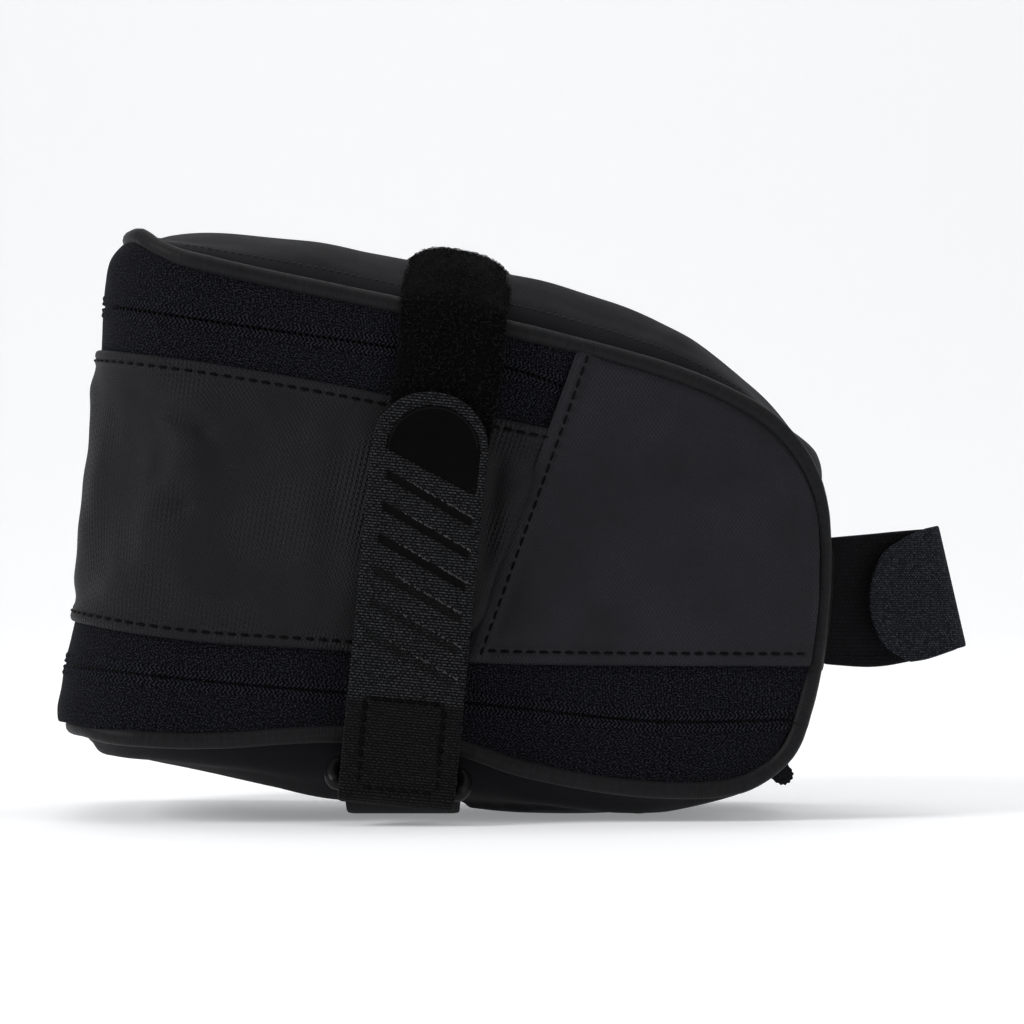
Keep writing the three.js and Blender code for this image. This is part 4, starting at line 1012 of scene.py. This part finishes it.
def pile_strap(name, node, body, line, seed):
    """Napped loop tape: a soft-edged strap that carries thousands of short fibre loops."""
    vs = np.r_[-1, -0.96, -0.88, np.linspace(-0.78, 0.78, 15), 0.88, 0.96, 1] / 2
    p, n = ribbon_grid(line, vs, 1.2)
    z = p[..., 2]
    x = -16.2 + (z - 91) * math.tan(LOOP_TILT) + vs[None] * LOOP_WIDTH
    x = x - 0.11 * np.maximum(0, 100 - z) * (p[..., 1] < 0)
    aside = np.abs(2 * vs)[None]
    roll = -TOP_SLOPE * vs[None] * LOOP_WIDTH * smoothstep(z, 100, 112) - 3.4 * aside**3 * smoothstep(z, 110, 121)
    crowned = 2.35 - 0.9 * aside**5 + 0.12 * ripple(p, 5, seed)
    curl = 0.9 * aside**4 * (1 - smoothstep(z, 108, 118)) * np.sign(p[..., 1])
    base = np.stack([x, p[..., 1] - curl, z + roll], -1)
    outer, inner = base + n * crowned[..., None], base + n * (0.15 + 0.5 * aside**6)[..., None]
    piece = make(name, *closed_grid(outer, inner, arc_uv(outer), 0.3), PILE, "pile", 1)
    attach(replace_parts(piece, node), body)
    r = np.random.default_rng(seed)
    area = (len(p) * 1.2) * LOOP_WIDTH
    fibres = Batch()
    for _ in range(int(area * (1.9))):
        i, j = r.uniform(0, len(p) - 1.001), r.uniform(0, len(vs) - 1.001)
        a, b = int(i), int(j)
        fi, fj = i - a, j - b
        at = (outer[a, b] * (1 - fi) + outer[a + 1, b] * fi) * (1 - fj) + outer[a, b + 1] * fj
        m = n[a, b] + r.normal(size=3) * 0.35
        edge = abs(vs[b]) * 2
        m = m + np.array([np.sign(vs[b]), 0, 0]) * 1.2 * edge**6
        m /= np.linalg.norm(m)
        side = np.cross(m, r.normal(size=3))
        side /= np.linalg.norm(side)
        h, w = r.uniform(0.3, 0.85), r.uniform(0.25, 0.85)
        path = np.array([at - side * w - m * 0.15, at - side * w * 0.8 + m * h * 0.7, at + m * h,
                         at + side * w + m * h * 0.55, at + side * w * 0.8 - m * 0.1])
        fibres.add(*sweep(path, r.uniform(0.035, 0.065), 3))
    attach(fibres.build(name + "_nap", FIBRE, "pile"), body)
    return outer, n


def lean(points):
    """From the hook strap's own upright axes to the pattern's."""
    p = np.array(points, float)
    x, z = p[..., 0].copy(), p[..., 2] - TAB_BAR[1]
    p[..., 0] = x * math.cos(STRAP_TILT) + z * math.sin(STRAP_TILT) + HOOK_STRAP_X
    p[..., 2] = -x * math.sin(STRAP_TILT) + z * math.cos(STRAP_TILT) + TAB_BAR[1]
    return p


SLOT_PITCH, SLOT_DROP, SLOT_HALF = 7.08, 0.455, 1.02
SLOT_LEFT, SLOT_RIGHT = (-8.9, 76.4), 11.0
SLOTS = [(0.62, 1.0)] * 3 + [(0.3, 0.8), (0.3, 0.6), (0.3, 0.45)]  # depth and darkness of each, from the top: the darkness is the black backing film plus painted shade, most in the top three
BOX_HALF, BOX_LOW, BOX_HIGH = 8.6, 8.0, 27.4  # the stitched box at the strap's foot
PATCH = (0.8, 81.8, 10.2, 8.6)  # middle x, z, radius and slant of the smooth patch


def in_patch(x, z, grow=0.0):
    """Signed distance to the smooth patch's outline, below 0 inside it."""
    cx, cz, radius, drop = PATCH
    round_part = np.hypot(x - cx, np.maximum(z - cz, 0)) - (radius + grow)
    slope = drop / (2 * radius)
    below = (cz - (x - cx + radius) * slope - z) / math.hypot(1, slope) - grow
    return np.maximum(round_part, below)


def slot_line(k, x):
    """Height at x of the middle line of slot k."""
    return SLOT_LEFT[1] - k * SLOT_PITCH - (x - SLOT_LEFT[0]) * SLOT_DROP


def cut_slots(x, z, recess):
    """The strap's recess with the slots cut into it and frayed threads over their edges, and how dark the slots are:
    black film with painted shade.
    """
    dark = 0 * z
    for k, (depth, shade) in enumerate(SLOTS):
        cut = z - slot_line(k, x)
        left, right = SLOT_LEFT[0] - 0.22 * k, SLOT_RIGHT - 0.12 * k
        inside = smoothstep(SLOT_HALF - np.abs(cut), -0.22, 0.22) * smoothstep(x, left - 0.3, left + 0.3)
        inside = inside * (1 - smoothstep(x, right - 0.3, right + 0.3))
        fray = np.exp(-((cut - SLOT_HALF - 0.35) / 0.3) ** 2)
        fray = fray * smoothstep(x, left, left + 1) * (1 - smoothstep(x, right - 1, right))
        recess = recess + inside * depth
        recess = recess - fray * (0.16 + 0.12 * np.sin(x * 5.1 + k))
        dark = dark + inside * shade
    return recess, dark


def box_distance(x, z):
    """Distance to the lines of the stitched box, where one is near."""
    far = 9
    sides = np.minimum(np.minimum(np.abs(x + BOX_HALF), np.abs(x - BOX_HALF)), far)
    sides = np.where((z > BOX_LOW - 0.6) & (z < BOX_HIGH + 0.2), sides, far)
    rows = np.where(np.abs(x) < BOX_HALF + 0.2, np.minimum(np.abs(z - BOX_HIGH), np.abs(z - BOX_LOW)), far)
    return np.minimum(sides, rows)


def hook_strap():
    line = [(-46.0, TIP_Z), (-46.0, 80), (-46.0, 60), (-46.0, 40), (-46.0, 24), (-46.05, 14), (-46.4, 10)]
    (bar_y, bar_z), turn = STRAP_BAR, 2.7  # the strap's middle runs round the ring's bar at this radius
    for degrees in np.linspace(185, 385, 9):
        a = math.radians(degrees)
        line.append((bar_y + turn * math.cos(a), bar_z + turn * math.sin(a)))
    line += [(-42.4, 10.6), (-43.9, 12.2), (-44.55, 14.5), (-44.6, 18), (-44.6, 25.5)]
    us = np.r_[-1, -0.985, -0.95, np.linspace(-0.91, 0.91, 58), 0.95, 0.985, 1]
    half, step = STRAP_WIDTH / 2, 0.42
    p, n = ribbon_grid(line, us, step)
    z0 = p[:, 0, 2]
    run = np.arange(len(z0)) * step
    tip = np.sqrt(np.maximum(0, 1 - np.clip((half - (TIP_Z - z0)) / half, 0, 1) ** 2))
    width = np.where(run < half + 1, np.maximum(tip, 0.05), 1.0) * half
    p = p.copy()
    p[..., 0] = us[None] * width[:, None]
    x, z = p[..., 0], p[..., 2]
    front = (run < 80)[:, None]
    recess = smoothstep(-in_patch(x, z, 0.35), -0.25, 0.3) * 0.5
    recess, slots = cut_slots(x, z, recess)
    box = box_distance(x, z)
    groove = 0.22 * np.exp(-((box / 0.5) ** 2))
    weave = 0.05 * np.sin(run * 2 * math.pi / 1.2)[:, None] * np.sin(x * 2 * math.pi / 1.3)
    edge = 0.25 * (1 - smoothstep(half - np.abs(x), 0, 0.9))
    out = 0.7 - (recess + groove) * front + weave - edge
    out = out + front * 0.18 * np.sin(z / 9.0)
    outer, inner = lean(p + n * out[..., None]), lean(p - n * 0.55)
    uv = np.stack([x, np.broadcast_to(run[:, None], x.shape)], -1)
    piece = make("strap_hook_side", *closed_grid(outer, inner, uv, 0.25), STRAP, "webbing", 0)
    # The slot mark also paints shade along the box's stitch groove, where the thread sinks.
    mark(piece, "slot", np.clip((slots + 0.8 * np.exp(-((box / 0.45) ** 2))) * front, 0, 1))
    mark(piece, "doubled", (1 - smoothstep(z, 26.5, 28.0)) * np.ones_like(x))
    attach(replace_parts(piece, "hook_strap"), "hook_strap_body")
    outward = lean(np.array([0, -1.0, 0])) - lean(np.zeros(3))
    face = HOOK_STRAP_Y - 1.42
    strap_box_stitch(face, outward)
    strap_frays(face, outward)
    hook_pad()
    grip_patch(face)


def strap_box_stitch(face, outward):
    sewn = Batch()
    corners = [(-BOX_HALF, BOX_HIGH), (BOX_HALF, BOX_HIGH), (BOX_HALF, BOX_LOW), (-BOX_HALF, BOX_LOW)]
    corners.append(corners[0])
    for (xa, za), (xb, zb) in zip(corners, corners[1:]):
        zs = np.linspace(za, zb, 60)
        ys = face + 0.02 - np.interp(zs, [8, 10, 14, 24], [0.5, 0.42, 0.06, 0.0])
        row = lean(np.stack([np.linspace(xa, xb, 60), ys, zs], 1))
        stitch_row(sewn, row, np.broadcast_to(outward, row.shape), 2.6, 2.0, 0.26)
    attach(sewn.build("strap_box_stitch", THREADS, "webbing"), "hook_strap_body")


def strap_frays(face, outward):
    """Pale thread ends that stand up along the slots' upper edges."""
    frays = Batch()
    r = np.random.default_rng(9)
    for k in range(len(SLOTS)):
        for _ in range(52 if k < 4 else 26):
            fx = 10.8 - 15.5 * r.uniform(0, 1) ** 1.4
            fz = slot_line(k, fx) + SLOT_HALF + r.uniform(0.0, 0.35)
            a = lean(np.array([fx, face + 0.05, fz]))
            b = lean(np.array([fx + r.uniform(0.15, 0.5), face - r.uniform(0.0, 0.15), fz - r.uniform(0.1, 0.4)]))
            thread(frays, a, b, outward, 0.15, 0.06)
    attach(frays.build("strap_slot_frays", FRAY, "webbing"), "hook_strap_body")


def hook_pad():
    half, top, plane = (STRAP_WIDTH - 3) / 2, 92, -44.5
    arc_z = top - half  # where the rounded tip begins
    us = np.linspace(-1, 1, 30)
    zs = np.r_[np.linspace(27, arc_z, 60), arc_z + half * np.sin(np.linspace(0.05, 1.54, 16))]
    width = np.where(zs < arc_z, half, np.sqrt(np.maximum(half**2 - (zs - arc_z) ** 2, 0.05)))
    x = us[None] * width[:, None]
    p = np.stack([x, np.full_like(x, plane), np.broadcast_to(zs[:, None], x.shape)], -1)
    n = np.broadcast_to(np.array([0, 1.0, 0]), p.shape)
    piece = fabric("hook_tape", lean(p), lean(p + n) - lean(p), 0.5, HOOKS, "hooks", np.stack([x, p[..., 2]], -1))
    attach(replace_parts(piece, "hook_pad"), "hook_strap_body")
    hooks = Batch()
    for z in np.arange(28.5, 90, 1.5):
        for x in np.arange(-9.6, 9.8, 1.35):
            if z > arc_z and x * x + (z - arc_z) ** 2 > (half - 1) ** 2:
                continue
            q = np.array([x, plane, z])
            path = lean(q + np.array([[0, -0.1, 0], [0, 0.16, 0], [0, 0.26, 0.18], [0, 0.18, 0.34]]))
            hooks.add(*sweep(path, 0.09, 4))
    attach(hooks.build("hook_tape_hooks", HOOKS, "hooks"), "hook_strap_body")


def grip_patch(face):
    """The smooth moulded patch near the strap's tip, let into the weave, with a raised rim."""
    cx, cz, radius, drop = PATCH
    arc = np.linspace(0, math.pi, 48)
    outline = [(cx + radius * math.cos(a), cz + radius * math.sin(a)) for a in arc]
    outline += [(cx - radius + 2 * radius * f, cz - drop * f) for f in np.linspace(0.02, 0.98, 22)]
    outline += [(cx + radius, cz - drop * 0.98 + drop * 0.98 * f) for f in np.linspace(0.1, 0.9, 8)]
    outline = np.array(outline)
    middle = np.array([cx + 0.4, cz + 0.6])
    rings = [(1.0, -0.45), (1.0, 0.0), (0.988, 0.14), (0.97, 0.14), (0.955, 0.0)]
    rings += [(scale, -0.03) for scale in (0.948, 0.93, 0.6, 0.25)]
    verts, faces, count = [], [], len(outline)
    for scale, lift in rings:
        ring = middle + (outline - middle) * scale
        verts += [(x, face + 0.30 - lift, z) for x, z in ring]
    for r in range(len(rings) - 1):
        for k in range(count):
            a, b = r * count + k, r * count + (k + 1) % count
            faces.append([a, b, b + count, a + count])
    top = len(verts)
    verts += [(middle[0], face + 0.33, middle[1]), (middle[0], face + 0.75, middle[1])]
    last = (len(rings) - 1) * count
    for k in range(count):
        faces.append([last + k, last + (k + 1) % count, top])
        faces.append([(k + 1) % count, k, top + 1])
    verts = lean(np.array(verts))
    piece = make("grip_patch_gloss", verts, faces, np.zeros((len(verts), 2)), GRIP, "grip")
    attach(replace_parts(piece, "grip_patch"), "hook_strap_body")


def strap_ring():
    """A moulded ring: a rounded bar swept round the slot that the two straps share."""
    dy, dz = TAB_BAR[0] - STRAP_BAR[0], TAB_BAR[1] - STRAP_BAR[1]
    pitch, length = math.hypot(dy, dz), STRAP_WIDTH + 1.6 + 2.6
    half_x, half_u, corner = length / 2, pitch / 2, 3.3
    path = []
    for cx, cu, start in ((half_x, half_u, 0), (-half_x, half_u, 90), (-half_x, -half_u, 180), (half_x, -half_u, 270)):
        for a in np.radians(np.linspace(start, start + 90, 7)):
            path.append((cx - math.copysign(corner, cx) + corner * math.cos(a),
                         cu - math.copysign(corner, cu) + corner * math.sin(a)))
    flat = np.array(path)
    loop = np.vstack([flat, flat[:1]])
    s = lengths(loop)
    at = np.linspace(0, s[-1], 120, endpoint=False)
    flat = at_length(at, s, loop)
    ends = smoothstep(np.abs(flat[:, 0]), STRAP_WIDTH / 2, STRAP_WIDTH / 2 + 1.0)
    unit = np.array([dy, dz]) / pitch
    mid = np.array([(TAB_BAR[0] + STRAP_BAR[0]) / 2, (TAB_BAR[1] + STRAP_BAR[1]) / 2])
    yz = mid + flat[:, 1:] * unit
    line = lean(np.stack([flat[:, 0], yz[:, 0], yz[:, 1]], 1))
    radii = (1.3 + 0.45 * ends)[:, None] * np.ones(14)
    piece = make("strap_ring_moulded", *sweep(line, radii, 14, closed=True), PLASTIC, "plastic", 1)
    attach(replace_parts(piece, "strap_ring"), "ring")


def under_strap():
    """The woven strap sewn under the bag, which ends in the eye round the ring's inner bar."""
    line = [
        (29.5, 9.6), (25.5, 6.2), (18.4, 2.7), (8.4, 0.75), (-8.4, 0.75), (-18.4, 2.5), (-26, 6), (-32, 9),
        (-36.0, 10.3), (-38.2, 10.2), (-40.4, 10.7), (-41.5, 12.4), (-41.2, 14.4), (-39.4, 15.5), (-37.3, 14.9),
        (-36.2, 13.2), (-34.2, 11.6), (-29, 9.3),
    ]
    us = np.r_[-1, -0.985, -0.93, np.linspace(-0.85, 0.85, 26), 0.93, 0.985, 1] * STRAP_WIDTH / 2
    step = 0.7
    p, n = ribbon_grid(line, us, step)
    edge = 0.2 * (1 - smoothstep(STRAP_WIDTH / 2 - np.abs(us), 0, 1.0))[None]
    p = p.copy()
    p[..., 0] += HOOK_STRAP_X
    outer, inner = p - n * (0.6 - edge)[..., None], p + n * (0.6 - edge)[..., None]
    outer[..., 2], inner[..., 2] = np.maximum(outer[..., 2], 0.0), np.maximum(inner[..., 2], 0.05)
    uv = np.stack(np.broadcast_arrays(us[None], np.arange(len(p))[:, None] * step), -1)
    piece = make("under_strap", *closed_grid(outer, inner, uv, 0.25), TAPE_WEAVE, "webbing", 1)
    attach(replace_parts(piece, "ring_tab"), "tray")


# ---------------------------------------------------------------- seatpost strap, tab and sliders
def coons(bottom, top, left, right, nu, nv):
    """A grid between four edge lines of (x, z) points: bottom and top run along u, left and right along v."""
    read = lambda line, n: Spline(line).at(np.linspace(0, len(line) - 1, n))
    b, t, l, r = read(bottom, nu), read(top, nu), read(left, nv), read(right, nv)
    u, v = np.linspace(0, 1, nu)[:, None, None], np.linspace(0, 1, nv)[None, :, None]
    flat = (1 - v) * b[:, None] + v * t[:, None] + (1 - u) * l[None] + u * r[None]
    return flat - ((1 - u) * (1 - v) * b[0] + u * (1 - v) * b[-1] + (1 - u) * v * t[0] + u * v * t[-1])


def leaf(name, node, body, grid, y, material, slot, thickness=1.1, wave=0.3, seed=60, pull=None):
    p = np.stack([grid[..., 0], np.full(grid.shape[:2], y), grid[..., 1]], -1)
    p[..., 1] += wave * ripple(p, 14, seed) * smoothstep(p[..., 0], 72, 80)
    if pull is not None:
        p[..., 1] += pull(p)
    n = facing(p, len(p) // 2, p.shape[1] // 2, 1, -1)
    uv = np.stack([grid[..., 0], grid[..., 1]], -1)
    piece = fabric(name, p, n, thickness, material, slot, uv)
    if node:
        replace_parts(piece, node)
    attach(piece, body)
    return p, n


def post_strap():
    near = coons([(69.0, 34.1), (80, 33.5), (88, 34.7), (97, 37.1), (98.8, 37.9)],
                 [(69.0, 62.3), (78, 63.1), (86, 63.9), (92.4, 64.4)],
                 [(69.0, 34.1), (69.0, 48), (69.0, 62.3)], [(98.8, 37.9), (95.8, 51), (92.4, 64.4)], 50, 44)
    p, n = leaf("post_strap_hooks", "post_strap_near", "post_near", near, -5.55, HOOKS, "hooks", 1.2)
    seam = Batch()
    stitch_row(seam, p[4:-2, 3] + n[4:-2, 3] * 0.02, n[4:-2, 3], 2.2, 1.7, 0.17)
    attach(seam.build("post_strap_seam", FINE_WEAVE, "webbing"), "post_near")
    fold = Spline([(-4.9, -0.6), (-5.0, 0.8), (-5.9, 2.3), (-6.7, 2.75), (-7.6, 2.55), (-8.7, 1.1), (-8.75, -0.4)])
    yo = fold.at(np.linspace(0, fold.n - 1, 22))
    along = np.linspace(0, 1, 40)
    low, high = np.array([98.4, 37.6]), np.array([92.2, 64.6])
    base = low + (high - low) * along[:, None]
    grid = np.zeros((22, 40, 3))
    grid[..., 0] = base[None, :, 0] + yo[:, 1:]
    grid[..., 1] = yo[:, :1]
    grid[..., 2] = base[None, :, 1] + 0.24 * yo[:, 1:]
    m = facing(grid, 11, 20, 0)
    uv = np.stack([grid[..., 0] + grid[..., 1], grid[..., 2]], -1)
    piece = fabric("post_strap_fold", grid, m, 0.9, FINE_WEAVE, "webbing", uv)
    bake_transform(piece)
    end = coons([(88.3, 34.6), (92, 35.3), (98.9, 37.6)], [(87.5, 62.9), (90, 63.9), (92.7, 64.6)],
                [(88.3, 34.6), (82.6, 38.4), (79.4, 45.5), (79.5, 52.5), (82.4, 59.2), (87.5, 62.9)],
                [(98.9, 37.6), (95.8, 51), (92.7, 64.6)], 40, 50)
    lift = lambda q: -0.5 * (1 - smoothstep(q[..., 0], 80, 86))
    leaf("post_strap_folded_end", "post_strap_end", "post_end", end, -8.55, FINE_WEAVE, "webbing", 1.0, 0.2, 62, lift)
    far = coons([(69.0, 34.8), (80, 35.6), (95, 37)], [(69.0, 61.3), (80, 61.9), (92, 62.5)],
                [(69.0, 34.8), (69.0, 61.3)], [(95, 37), (94.8, 50), (92, 62.5)], 40, 36)
    leaf("post_strap_loops", "post_strap_far", "post_far", far, 4.7, PILE, "pile", 1.2)


def front_tab():
    """A short piece of ribbed webbing, folded double and caught in the seam."""
    turn, (rx, rz) = math.radians(42), (57.2, 10.9)
    fold = Spline([(-1, 2.2), (1.4, 2.4), (3.6, 2.3), (5.0, 1.6), (5.5, 0),
                   (5.0, -1.5), (3.6, -2.2), (1.4, -2.3), (-1, -2.2)])
    line = fold.at(np.linspace(0, fold.n - 1, 44))
    d = np.gradient(line, axis=0)
    out = np.stack([-d[:, 1], d[:, 0]], 1) / np.linalg.norm(d, axis=1)[:, None]
    line = line - out * -0.16 * np.sin(np.arange(44) * 1.75)[:, None]
    ys = np.r_[-6, -5.9, np.linspace(-5.7, 5.7, 24), 5.9, 6]
    a, b = line[:, 0], line[:, 1]
    x, z = rx + a * math.cos(turn) + b * math.sin(turn), rz - a * math.sin(turn) + b * math.cos(turn)
    mx, mz = x.mean(), z.mean()
    verts, faces = [], []
    for i, y in enumerate(ys):
        k = 0.9 if i in (0, len(ys) - 1) else 1.0
        verts += [(mx + (px - mx) * k, y, mz + (pz - mz) * k) for px, pz in zip(x, z)]
    count = len(line)
    for i in range(len(ys) - 1):
        for j in range(count):
            p, q = i * count + j, i * count + (j + 1) % count
            faces.append([p, q, q + count, p + count])
    faces += [list(range(count))[::-1], list(range((len(ys) - 1) * count, len(ys) * count))]
    s = lengths(line)
    uv = [(y, v) for y in ys for v in s]
    piece = make("webbing_nub", verts, faces, uv, TAPE_WEAVE, "webbing")
    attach(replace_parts(piece, "front_webbing_tab"), "tray")


def bevelled(name, node, body, material, width):
    """A piece that keeps its CAD shape, with its edges rounded as a casting's are."""
    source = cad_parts[node]
    obj = bpy.data.objects.new(name, source.data.copy())
    bpy.context.scene.collection.objects.link(obj)
    obj.data.materials.clear()
    obj.data.materials.append(material)
    bm = bmesh.new()
    bm.from_mesh(obj.data)
    bmesh.ops.remove_doubles(bm, verts=bm.verts, dist=1e-6)
    bmesh.ops.dissolve_limit(bm, angle_limit=0.01, verts=bm.verts, edges=bm.edges)
    bm.to_mesh(obj.data)
    bm.free()
    mod = obj.modifiers.new("bevel", "BEVEL")
    mod.width, mod.segments, mod.limit_method, mod.angle_limit = width * MM, 3, "ANGLE", math.radians(35)
    obj.data.polygons.foreach_set("use_smooth", [True] * len(obj.data.polygons))
    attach(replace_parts(obj, node), body)


# ---------------------------------------------------------------- the whole bag
side_wall()
front_side_panel("fabric_front_side_right", "front_side_panel_right", -1)
front_side_panel("fabric_front_side_left", "front_side_panel_left", 1)
cover()
piping()
pile_strap("strap_loop_side", "rail_loop_strap", "loop_strap_body", LOOP_LINE, 51)
pile_strap("strap_anchor", "loop_strap_anchor", "shell", ANCHOR_LINE, 52)
hook_strap()
strap_ring()
under_strap()
post_strap()
front_tab()
for zipper, body in (("main_zip", "main"), ("top_zip", "top")):
    bevelled(zipper + "_slider_cast", zipper + "_slider", body + "_slider", PAINTED, 0.35)
    bevelled(zipper + "_pull_cast", zipper + "_pull", body + "_pull", PAINTED, 0.25)
for body, batch in stitches.items():
    if batch.count:
        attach(batch.build("stitching_" + body, THREADS, "laminate"), body)

# ---------------------------------------------------------------- floor, light and camera
scene = bpy.context.scene
paper = bpy.data.materials.new("paper")
paper.use_nodes = True
shader = paper.node_tree.nodes["Principled BSDF"]
shader.inputs["Base Color"].default_value = (0.9, 0.9, 0.905, 1)
shader.inputs["Roughness"].default_value = 0.7
shader.inputs["Emission Color"].default_value = (0.955, 0.965, 0.985, 1)
shader.inputs["Emission Strength"].default_value = 0.255
SWEEP = 1.2  # radius of the curve between the floor and the back wall, in metres
curve = [(SWEEP + SWEEP * math.sin(a), SWEEP - SWEEP * math.cos(a)) for a in np.linspace(0.1, 1.57, 16)]
profile = [(-9.0, 0.0), (SWEEP, 0.0)] + curve + [(2.4, 4.0)]
verts = [(x, y, z) for y, z in profile for x in (-9.0, 9.0)]
mesh = bpy.data.meshes.new("studio_floor")
mesh.from_pydata(verts, [], [(2 * i, 2 * i + 1, 2 * i + 3, 2 * i + 2) for i in range(len(profile) - 1)])
mesh.polygons.foreach_set("use_smooth", [True] * len(mesh.polygons))
mesh.materials.append(paper)
floor = bpy.data.objects.new("studio_floor", mesh)
floor.location.z = -0.0001
scene.collection.objects.link(floor)

world = bpy.data.worlds.new("studio")
world.use_nodes = True
world.node_tree.nodes["Background"].inputs["Color"].default_value = (0.97, 0.98, 1.0, 1)
world.node_tree.nodes["Background"].inputs["Strength"].default_value = 0.20
scene.world = world


def softbox(name, location, target, size, power):
    light = bpy.data.lights.new(name, "AREA")
    light.shape, light.size, light.size_y, light.energy = "RECTANGLE", size[0], size[1], power
    obj = bpy.data.objects.new(name, light)
    obj.location = location
    obj.rotation_euler = (Vector(target) - Vector(location)).to_track_quat("-Z", "Y").to_euler()
    scene.collection.objects.link(obj)


softbox("top_light", (0.0, -0.1, 1.5), (0, 0, 0.05), (1.6, 1.6), 5.4)
softbox("left_light", (-1.25, -0.75, 0.95), (0, 0, 0.06), (0.5, 0.7), 15)
softbox("right_light", (1.3, -0.9, 0.8), (0, 0, 0.06), (0.9, 1.2), 5.5)
softbox("rear_light", (0.0, 0.6, 2.6), (0, 2.2, 0.5), (2.4, 1.2), 20)

camera = bpy.data.objects.new("camera", bpy.data.cameras.new("camera"))
camera.data.lens, camera.data.sensor_width = 143.8, 36.0
camera.location = place((-2.0, -936.0, 68.5))
camera.rotation_euler = (math.pi / 2, 0, 0)
camera.data.clip_end = 20
scene.collection.objects.link(camera)
scene.camera = camera
scene.view_settings.view_transform = "Standard"
